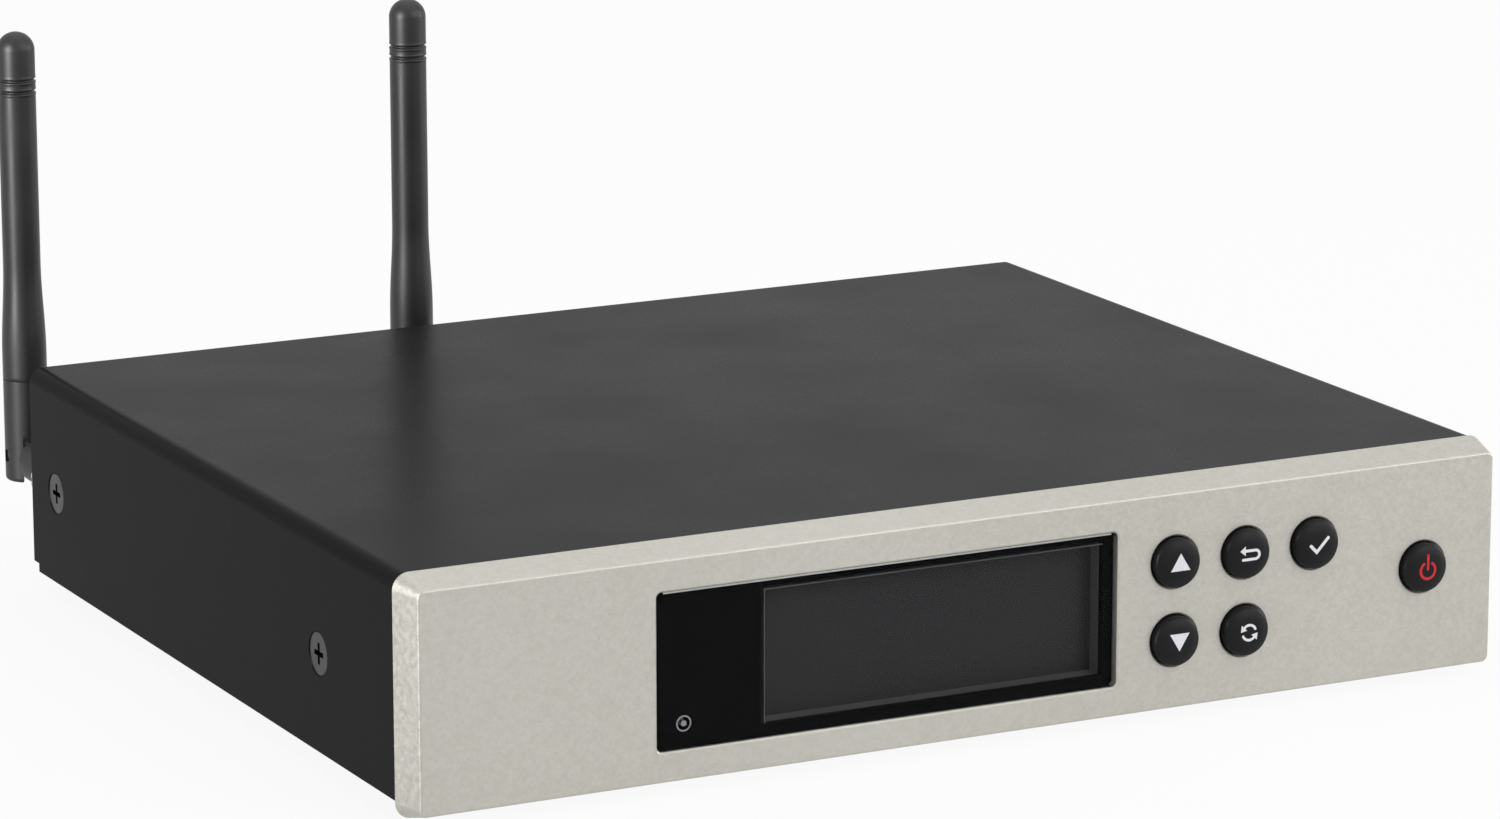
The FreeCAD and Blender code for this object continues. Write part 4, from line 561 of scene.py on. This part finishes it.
# %% [markdown]
# ## Soft keys
# The keys are moulded rubber caps with a flat top, a broad round shoulder that catches the light,
# a flange behind the panel that stops them falling out, and a stem that works the switch. A
# bevelled cylinder would give the shoulder one even radius. Turning a softened profile allows a
# wide shoulder in front and a tight edge behind, as the mould has it.

# %% Key caps
KEYS = {"up_button": "up_key", "escape_button": "escape_key", "set_button": "set_key",
        "down_button": "down_key", "sync_button": "sync_key", "power_button": "power_key"}
FACE_RADIUS, SHOULDER_DROP, STEM_RADIUS = 2.9, 0.72, 1.6
FLANGE_WIDE, FLANGE_THICK, BEHIND_CAP = 1.0, 1.0, 6.15
CORNER_REACH = (1.15, 0.55, 0.1, 0.12, 0.12, 0.1, 0.3)     # millimetres, from the face back
key_faces = {}
for node, body in KEYS.items():
    centre, low, high = middle(node)
    deep = (high.y - low.y) / MM
    flange = (high.x - low.x) / 2 / MM
    cap = flange - FLANGE_WIDE
    back = deep - BEHIND_CAP + FLANGE_THICK
    profile = softened(
        [(0, 0), (FACE_RADIUS, 0), (cap, SHOULDER_DROP), (cap, back - FLANGE_THICK),
         (flange, back - FLANGE_THICK), (flange, back), (STEM_RADIUS, back),
         (STEM_RADIUS, deep), (0, deep)], CORNER_REACH)
    points, faces = turned(profile, (centre.x, low.y, centre.z), "Y", sides=96)
    add_piece(node + "_cap", points, faces, "button_rubber", body, [node], crease=50)
    key_faces[node] = Vector((centre.x, low.y, centre.z))
print("key caps made:", len(key_faces), "front faces at y =",
      round(key_faces["up_button"].y / MM, 2), "mm")

# %% [markdown]
# ## Marks on the keys
# The marks are pad-printed: a film of ink a few hundredths of a millimetre thick. They could be
# painted by a texture, but a thin solid plate has a clean edge at any distance and goes out with
# the model. Each mark is built from closed outlines. A stroke grows from its middle line: every
# point moves half the width to each side, along the average of its two runs' normals, made
# longer at a corner so that the stroke keeps its width. The signs are plain ones that anybody
# may use: triangles for up and down, a returning arrow, a tick, a turning pair of arrows, and
# the broken circle for power.

# %% Outlines and print helpers
def stroke(path, width, round_ends=(True, True)):
    """The closed outline of a line of one width, with round or flat ends."""
    path = np.asarray(path, float)
    runs = np.diff(path, axis=0)
    runs /= np.linalg.norm(runs, axis=1)[:, None]
    side = np.stack((-runs[:, 1], runs[:, 0]), axis=1)
    normal = np.concatenate((side[:1], (side[:-1] + side[1:]) / 2, side[-1:]))
    normal /= (normal ** 2).sum(axis=1)[:, None]
    half = np.linspace(0, np.pi, 9)[1:-1, None]
    ends = []
    for point, out, across_end, is_round in ((path[-1], runs[-1], side[-1], round_ends[1]),
                                             (path[0], -runs[0], -side[0], round_ends[0])):
        turn = across_end * np.cos(half) + out * np.sin(half)
        ends.append(point + turn * width / 2 if is_round else np.empty((0, 2)))
    return np.concatenate((path + normal * width / 2, ends[0],
                           (path - normal * width / 2)[::-1], ends[1]))


def arc(radius, first, last, centre=(0, 0), steps=40):
    """Points on a circle from one angle to another, in degrees from the right, turning left."""
    angle = np.radians(np.linspace(first, last, steps))
    return np.stack((centre[0] + radius * np.cos(angle), centre[1] + radius * np.sin(angle)), 1)


def print_marks(name, outlines, place, slot, body, film=0.03, finish=None):
    """Thin plates with the given outlines, in millimetres, on a face that looks to the front.
    A fifth of the film's thickness sinks into that face, so that no light gets under it."""
    lift = np.array([0, -film * MM, 0])
    points, faces = [], []
    for outline in outlines:
        count, start = len(outline), sum(len(part) for part in points)
        flat = np.stack((outline[:, 0], 0 * outline[:, 0], outline[:, 1]), 1) * MM
        points.append(np.concatenate((flat + lift, flat - lift * 0.2)) + np.asarray(place))
        faces += [[start + corner for corner in range(count)],
                  [start + count + corner for corner in reversed(range(count))]]
        faces += [[start + side for side in quad] for quad in woven(2, count)]
    return add_piece(name, np.concatenate(points), faces, slot, body, finish=finish, crease=30)


def arrow_head(tip, along, length, width):
    """A triangle whose tip points along a direction."""
    tip, along = np.asarray(tip, float), np.asarray(along, float)
    along = along / np.linalg.norm(along)
    side = np.array((-along[1], along[0]))
    base = tip - along * length
    return np.array((tip, base + side * width / 2, base - side * width / 2))


print("a plain bar has", len(stroke([(0, 0), (1, 0)], 0.2)), "outline points")

# %% [markdown]
# The signs are drawn in millimetres round the middle of the key's face. Arcs and short runs are
# enough for all of them, and the lines share one width, as one printing plate would give.

# %% Key marks
TRIANGLE_HALF, TRIANGLE_HIGH, LINE = 3.9 / 2, 3.15, 0.5
HOOK_RADIUS, TURN_RADIUS, TURN_LINE, TURN_HEAD = 0.78, 1.35, 0.46, 1.05
triangle = np.array(((-TRIANGLE_HALF, -TRIANGLE_HIGH / 2), (TRIANGLE_HALF, -TRIANGLE_HIGH / 2),
                     (0, TRIANGLE_HIGH / 2)))
hook = np.concatenate(([(-1.0, HOOK_RADIUS)], arc(HOOK_RADIUS, 90, -90, (1.0, 0)),
                       [(-1.5, -HOOK_RADIUS)]))
turns = []
for first in (25, 205):
    sweep = arc(TURN_RADIUS, first, first + 112)
    end = sweep[-1]
    heading = np.array((-end[1], end[0])) / TURN_RADIUS
    turns += [stroke(sweep, TURN_LINE, (True, False)),
              arrow_head(end + heading * TURN_HEAD, heading, TURN_HEAD, 1.5)]
marks = {
    "up_button": [triangle + (0, 0.4)],
    "down_button": [triangle * (1, -1)],
    "escape_button": [stroke(hook, LINE, (False, True)),
                      arrow_head((-2.1, HOOK_RADIUS), (-1, 0), 1.1, 1.75)],
    "set_button": [stroke([(-1.75, 0.05), (-0.55, -1.15), (1.75, 1.25)], 0.58)],
    "sync_button": turns,
}
for node, outlines in marks.items():
    print_marks(node + "_mark", outlines, key_faces[node], "mark_white", KEYS[node])
power = [stroke(arc(1.5, 124, 416) + (0, -0.28), LINE), stroke([(0, -0.05), (0, 2.5)], LINE)]
print_marks("power_button_mark", power, key_faces["power_button"], "mark_red", "power_key")
print("marks printed on", len(marks) + 1, "keys")

# %% [markdown]
# ## Aerials
# Each aerial is a rubber-covered whip on a hinge. It flares smoothly towards its foot, has two
# fine grooves near its rounded tip, and is otherwise a plain rod. A cone with a bevel would show
# a ring where it meets the rod, so the radius follows a half wave of a cosine from foot to rod.
# The grooves are narrow bell curves taken off the radius, with a small lip beside each.

# %% Aerial masts
ROD, FOOT, FLARE_LOW, FLARE_TOP = 3.6, 4.25, 38.0, 55.5
DOME_HIGH = 3.5
GROOVES, GROOVE_DEPTH = (91.35, 89.15), 0.3


def mast_profile(low, high):
    """Radius against height: a cosine flare, two bell-shaped grooves with lips, and a dome.
    The points lie close together at the grooves and far apart on the plain rod."""
    heights = np.concatenate((np.linspace(low, FLARE_TOP, 28), np.linspace(58, 87.5, 10),
                              np.linspace(87.9, 92.7, 70), [94.0, high - DOME_HIGH]))
    rise = np.clip((heights - FLARE_LOW) / (FLARE_TOP - FLARE_LOW), 0, 1)
    flare = (1 + np.cos(np.pi * rise)) / 2
    radii = ROD + (FOOT - ROD) * flare
    for groove in GROOVES:
        radii -= GROOVE_DEPTH * np.exp(-((heights - groove) / 0.24) ** 4)
        radii += 0.07 * np.exp(-((heights - groove + 0.5) / 0.22) ** 2)
        radii += 0.05 * np.exp(-((heights - groove - 0.5) / 0.22) ** 2)
    bow = np.linspace(0, np.pi / 2, 20)[1:]
    foot = [(0, low), (FOOT - 0.3, low), (FOOT - 0.09, low + 0.09)]
    heights[0] = low + 0.3
    return np.concatenate((foot, np.stack((radii, heights), 1),
                           np.stack((ROD * np.cos(bow),
                                     high - DOME_HIGH + DOME_HIGH * np.sin(bow)), 1)))


for side in ("left", "centre"):
    node = side + "_antenna_mast"
    centre, low, high = middle(node)
    points, faces = turned(mast_profile(low.z / MM, high.z / MM), (centre.x, centre.y, 0), "Z")
    add_piece(node + "_cover", points, faces, "antenna_rubber", side + "_mast", [node])
print("masts reach", round(high.z / MM, 1), "mm")

# %% [markdown]
# ## Outlines for the window and its surround
# The window and the frame behind it are both rounded rectangles that change their size with the
# depth. A bevelled box would do for the plate, but not for a frame with a sloping wall. Rows of
# one outline, each pulled in by its own amount, serve both.

# %% Rounded outlines
def rounded_outline(low, high, corner, inset, steps=8):
    """Points round a rectangle in X and Z: each quarter turn sits at its corner's own centre,
    and pulling in by the inset shrinks the radius by the same amount."""
    radius = max(corner - inset, 0.02)
    angle = np.radians(np.linspace(0, 90, steps))
    quarter = np.stack((np.cos(angle), np.sin(angle)), 1) * radius
    left, bottom, right, top = (low[0] + inset + radius, low[1] + inset + radius,
                                high[0] - inset - radius, high[1] - inset - radius)
    parts = [quarter + (right, top), quarter[:, ::-1] * (-1, 1) + (left, top),
             -quarter + (left, bottom), quarter[:, ::-1] * (1, -1) + (right, bottom)]
    return np.concatenate(parts)


def outline_rows(low, high, corner, levels):
    """One row of points for each (inset, depth), in metres from millimetres."""
    rows = []
    for inset, depth in levels:
        ring = rounded_outline(low, high, corner, inset)
        rows.append(np.stack((ring[:, 0], 0 * ring[:, 0] + depth, ring[:, 1]), 1))
    return np.array(rows) * MM


print("a rounded outline has", len(rounded_outline((0, 0), (9, 5), 1.0, 0.0)), "points")

# %% [markdown]
# ## The window
# The window is a plate of clear acrylic, cut to its outline and bevelled round its front edge.
# The outline is drawn at three depths: at the back, where the bevel starts, and at the front,
# pulled in by the bevel's width. Two flat faces close the plate.

# %% Window plate
WINDOW_CORNER, BEVEL = 1.0, 0.28
centre, low, high = middle("display_window")
front, back = low.y / MM, high.y / MM
rows = outline_rows((low.x / MM, low.z / MM), (high.x / MM, high.z / MM), WINDOW_CORNER,
                    ((0, back), (0, front + BEVEL), (BEVEL, front)))
count = rows.shape[1]
faces = woven(len(rows), count) + [list(range(count)), list(range(2 * count, 3 * count))]
add_piece("window_plate", rows, faces, "window_clear", "case", ["display_window"])
print("window is", round((high.x - low.x) / MM, 2), "by", round((high.z - low.z) / MM, 2), "mm")

# %% [markdown]
# ## The painted bright edge
# Along the top the polished bevel would show the lamps as one fine bright line. That highlight is
# painted here: a thin pale strip that lies on the bevel between the two round corners, a small
# four-sided section drawn at both ends and joined up.

# %% Painted highlight on the window's edge
CORNER_CLEAR = 1.2
line_low, line_high = low.x / MM + CORNER_CLEAR, high.x / MM - CORNER_CLEAR
edge = high.z / MM
cross = np.array(((front + 0.26, edge - 0.03), (front + 0.03, edge - 0.27),
                  (front + 0.01, edge - 0.25), (front + 0.24, edge - 0.01)))
ends = np.array((line_low, line_high))[:, None]
strip = np.stack((ends + 0 * cross[:, 0], cross[:, 0] + 0 * ends, cross[:, 1] + 0 * ends), -1)
# A painted highlight: the pale strip stands in for the lamps' reflection on the bevel.
add_piece("window_edge_line", strip * MM, woven(2, 4) + [[0, 1, 2, 3], [4, 5, 6, 7]],
          "window_clear", "case", finish="painted_edge_highlight")
print("the bright edge is", round(line_high - line_low, 1), "mm long")

# %% [markdown]
# ## The display's surround
# A grey frame lines the opening between the window and the display, and its walls slope inwards
# a little, as a moulding has to. Four outlines that go in, back and out again make it, and the
# first one comes once more at the end, which closes it.

# %% Display surround
VIEW_LOW, VIEW_HIGH = (-40.1, 9.5), (25.8, 33.4)
SURROUND_CORNER, SURROUND_WALL, SLOPE, GAP, START = 0.3, 0.18, 0.35, 0.02, 0.25
display_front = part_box("lcd_glass")[0].y / MM
rows = outline_rows(VIEW_LOW, VIEW_HIGH, SURROUND_CORNER,
                    ((GAP, back + START), (SURROUND_WALL, back + START),
                     (SURROUND_WALL + SLOPE, display_front - GAP), (GAP, display_front - GAP),
                     (GAP, back + START)))
add_piece("display_surround", rows, woven(len(rows), rows.shape[1]), "lcd_grey", "case",
          finish="surround_grey", crease=20)
print("surround lines an opening", round((display_front - back), 2), "mm deep")

# %% [markdown]
# ## A mark behind the window
# A ring with a dot in it shows where the infrared eye sits behind the dark border. It is a thin
# print on the back of the window, over the hole for the eye, in a grey ink that doesn't glare.
# A ring isn't one closed outline, so it is printed as two halves.

# %% Infrared mark
EYE_HEIGHT, DOT_RADIUS, RING_RADIUS, RING_LINE = 0.01206, 0.52, 1.28, 0.26
eye, _, _ = middle("infrared_diode")
place = Vector((eye.x, (back + GAP) * MM, EYE_HEIGHT))
dot = arc(DOT_RADIUS, 0, 360, steps=25)[:-1]
ring_halves = [stroke(arc(RING_RADIUS, first, first + 180), RING_LINE, (False, False))
               for first in (0, 180)]
print_marks("infrared_mark", [dot] + ring_halves, place, "mark_white", "case", film=0.015,
            finish="mark_grey")
print("infrared mark at x =", round(eye.x / MM, 1), "mm")

# %% [markdown]
# ## Screw thread on the jack socket
# Behind the nut, the audio jack's collar shows a turn or two of its thread. A real thread is one
# ridge that climbs as it goes round. The radius at a height and an angle is the root plus the
# depth times a wave, and the wave's phase is the height over the pitch less the angle's share of
# a full turn, so the ridge closes on itself after each turn.

# %% Jack thread
def threaded_sleeve(root, depth, pitch, inner, start, end, centre, rows=26, sides=72):
    """A closed tube whose outer radius is root + depth * (1 + cos(phase)) / 2, where the phase
    is a full turn per pitch of height, less the angle."""
    angle = np.linspace(0, 2 * np.pi, sides, endpoint=False)
    height = np.linspace(start, end, rows)[:, None]
    phase = 2 * np.pi * (height - start) / pitch - angle
    ease = np.clip(np.minimum(height - start, end - height) / 0.3, 0, 1)
    outer = root + depth * (1 + np.cos(phase)) / 2 * ease
    radius = np.concatenate((inner + 0 * outer[:1], outer, inner + 0 * outer[:1],
                             inner + 0 * outer[:1]))
    along = np.concatenate(([[start]], height, [[end]], [[start]])) + 0 * angle
    points = np.stack((radius * np.cos(angle), along, radius * np.sin(angle)), -1) * MM
    return points + np.asarray(centre, float), woven(len(radius), sides)


THREAD_ROOT, THREAD_DEPTH, THREAD_PITCH, SLEEVE_INNER = 5.72, 0.26, 0.75, 5.5
centre, low, high = middle("jack_nut")
jack_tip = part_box("jack_socket")[1].y / MM
points, faces = threaded_sleeve(THREAD_ROOT, THREAD_DEPTH, THREAD_PITCH, SLEEVE_INNER,
                                high.y / MM + 0.02, jack_tip - 0.05, (centre.x, 0, centre.z))
add_piece("jack_thread", points, faces, "socket_nickel", "case")
print("thread runs", round(jack_tip - high.y / MM, 2), "mm past the nut")

# %% [markdown]
# ## The floor
# The object stands on a plain pale floor. A white background comes from the floor and the world,
# which shine for rays that the camera sends, and for those that metal and window send on. The
# floor is mostly shining and a little matt, so a soft shadow stays under the case. More lamps
# would make it white too, but they would bleach the object.

# %% Floor
FLOOR_SIZE, FLOOR_SHINE = 12.0, 0.92


def seen_directly(tree, nodes):
    """A value that is 1 for camera, mirror and window rays, and 0 for the rest."""
    path = nodes.new("ShaderNodeLightPath")
    total = nodes.new("ShaderNodeMath")
    total.operation = "ADD"
    tree.links.new(path.outputs["Is Camera Ray"], total.inputs[0])
    tree.links.new(path.outputs["Is Glossy Ray"], total.inputs[1])
    clipped = nodes.new("ShaderNodeMath")
    clipped.operation = "ADD"
    clipped.use_clamp = True
    tree.links.new(total.outputs[0], clipped.inputs[0])
    tree.links.new(path.outputs["Is Transmission Ray"], clipped.inputs[1])
    return clipped.outputs[0]


def studio_floor():
    """A large square, matt below and shining where it is seen directly."""
    corners = np.array(((-1, -1, 0), (1, -1, 0), (1, 1, 0), (-1, 1, 0))) * FLOOR_SIZE / 2
    mesh = bpy.data.meshes.new("floor")
    mesh.from_pydata(corners.tolist(), [], [[0, 1, 2, 3]])
    floor = bpy.data.objects.new("floor", mesh)
    bpy.context.scene.collection.objects.link(floor)
    material = bpy.data.materials.new("floor_white")
    material.use_nodes = True
    tree, nodes = material.node_tree, material.node_tree.nodes
    nodes.remove(nodes["Principled BSDF"])
    matt = nodes.new("ShaderNodeBsdfDiffuse")
    matt.inputs["Color"].default_value = (0.9, 0.9, 0.9, 1)
    shine = nodes.new("ShaderNodeEmission")
    shine.inputs["Strength"].default_value = 1.0
    share = nodes.new("ShaderNodeMath")
    share.operation = "MULTIPLY"
    share.inputs[1].default_value = FLOOR_SHINE
    tree.links.new(seen_directly(tree, nodes), share.inputs[0])
    mixed = nodes.new("ShaderNodeMixShader")
    tree.links.new(share.outputs[0], mixed.inputs[0])
    tree.links.new(matt.outputs[0], mixed.inputs[1])
    tree.links.new(shine.outputs[0], mixed.inputs[2])
    tree.links.new(mixed.outputs[0], nodes["Material Output"].inputs["Surface"])
    mesh.materials.append(material)


studio_floor()
print("floor is", FLOOR_SIZE, "m wide")

# %% [markdown]
# ## The world
# Past the floor's end the world takes over. It is white where it is seen directly, and for
# everything else it is a weaker sky that fills the shadows.

# %% World
WORLD_LIGHT = 0.45
world = bpy.data.worlds.new("studio")
world.use_nodes = True
bpy.context.scene.world = world
tree, nodes = world.node_tree, world.node_tree.nodes
background = nodes["Background"]
level = nodes.new("ShaderNodeMapRange")
level.inputs["To Min"].default_value = WORLD_LIGHT
level.inputs["To Max"].default_value = 1.0
tree.links.new(seen_directly(tree, nodes), level.inputs["Value"])
tree.links.new(level.outputs["Result"], background.inputs["Strength"])
background.inputs["Color"].default_value = (1, 1, 1, 1)
print("world lights the object at", WORLD_LIGHT)

# %% [markdown]
# ## The lamps
# Two large soft lamps light the object: one overhead and one in front on the right. Two narrow
# ones low at the sides show in reflections only. They draw the bright bands down the round
# aerials and keys, and leave the flat sides of the case as dark as they are.

# %% Lamps
def lamp(name, place, target, size, power, tall=None):
    """A soft rectangular lamp that looks at a point."""
    data = bpy.data.lights.new(name, "AREA")
    data.shape = "RECTANGLE"
    data.size = size
    data.size_y = tall or size
    data.energy = power
    lit = bpy.data.objects.new(name, data)
    lit.location = place
    lit.rotation_euler = (Vector(target) - Vector(place)).to_track_quat("-Z", "Y").to_euler()
    bpy.context.scene.collection.objects.link(lit)
    return lit


def streak(*arguments, **choices):
    """A lamp that shows in reflections only, to draw a streak along a round part."""
    lamp(*arguments, **choices).visible_diffuse = False


BETWEEN_AERIALS = (-0.05, 0.1, 0.06)
lamp("overhead", (0.1, 0.1, 1.3), (0, 0, 0), 1.5, 5.5)
lamp("front_right", (0.65, -1.1, 0.65), (0, 0, 0.03), 0.9, 7.0)
streak("left_strip", (-0.6, -0.1, 0.16), BETWEEN_AERIALS, 0.14, 6.0, tall=0.3)
streak("right_strip", (0.75, -0.2, 0.2), BETWEEN_AERIALS, 0.16, 1.6, tall=0.36)
bpy.context.scene.view_settings.view_transform = "Standard"
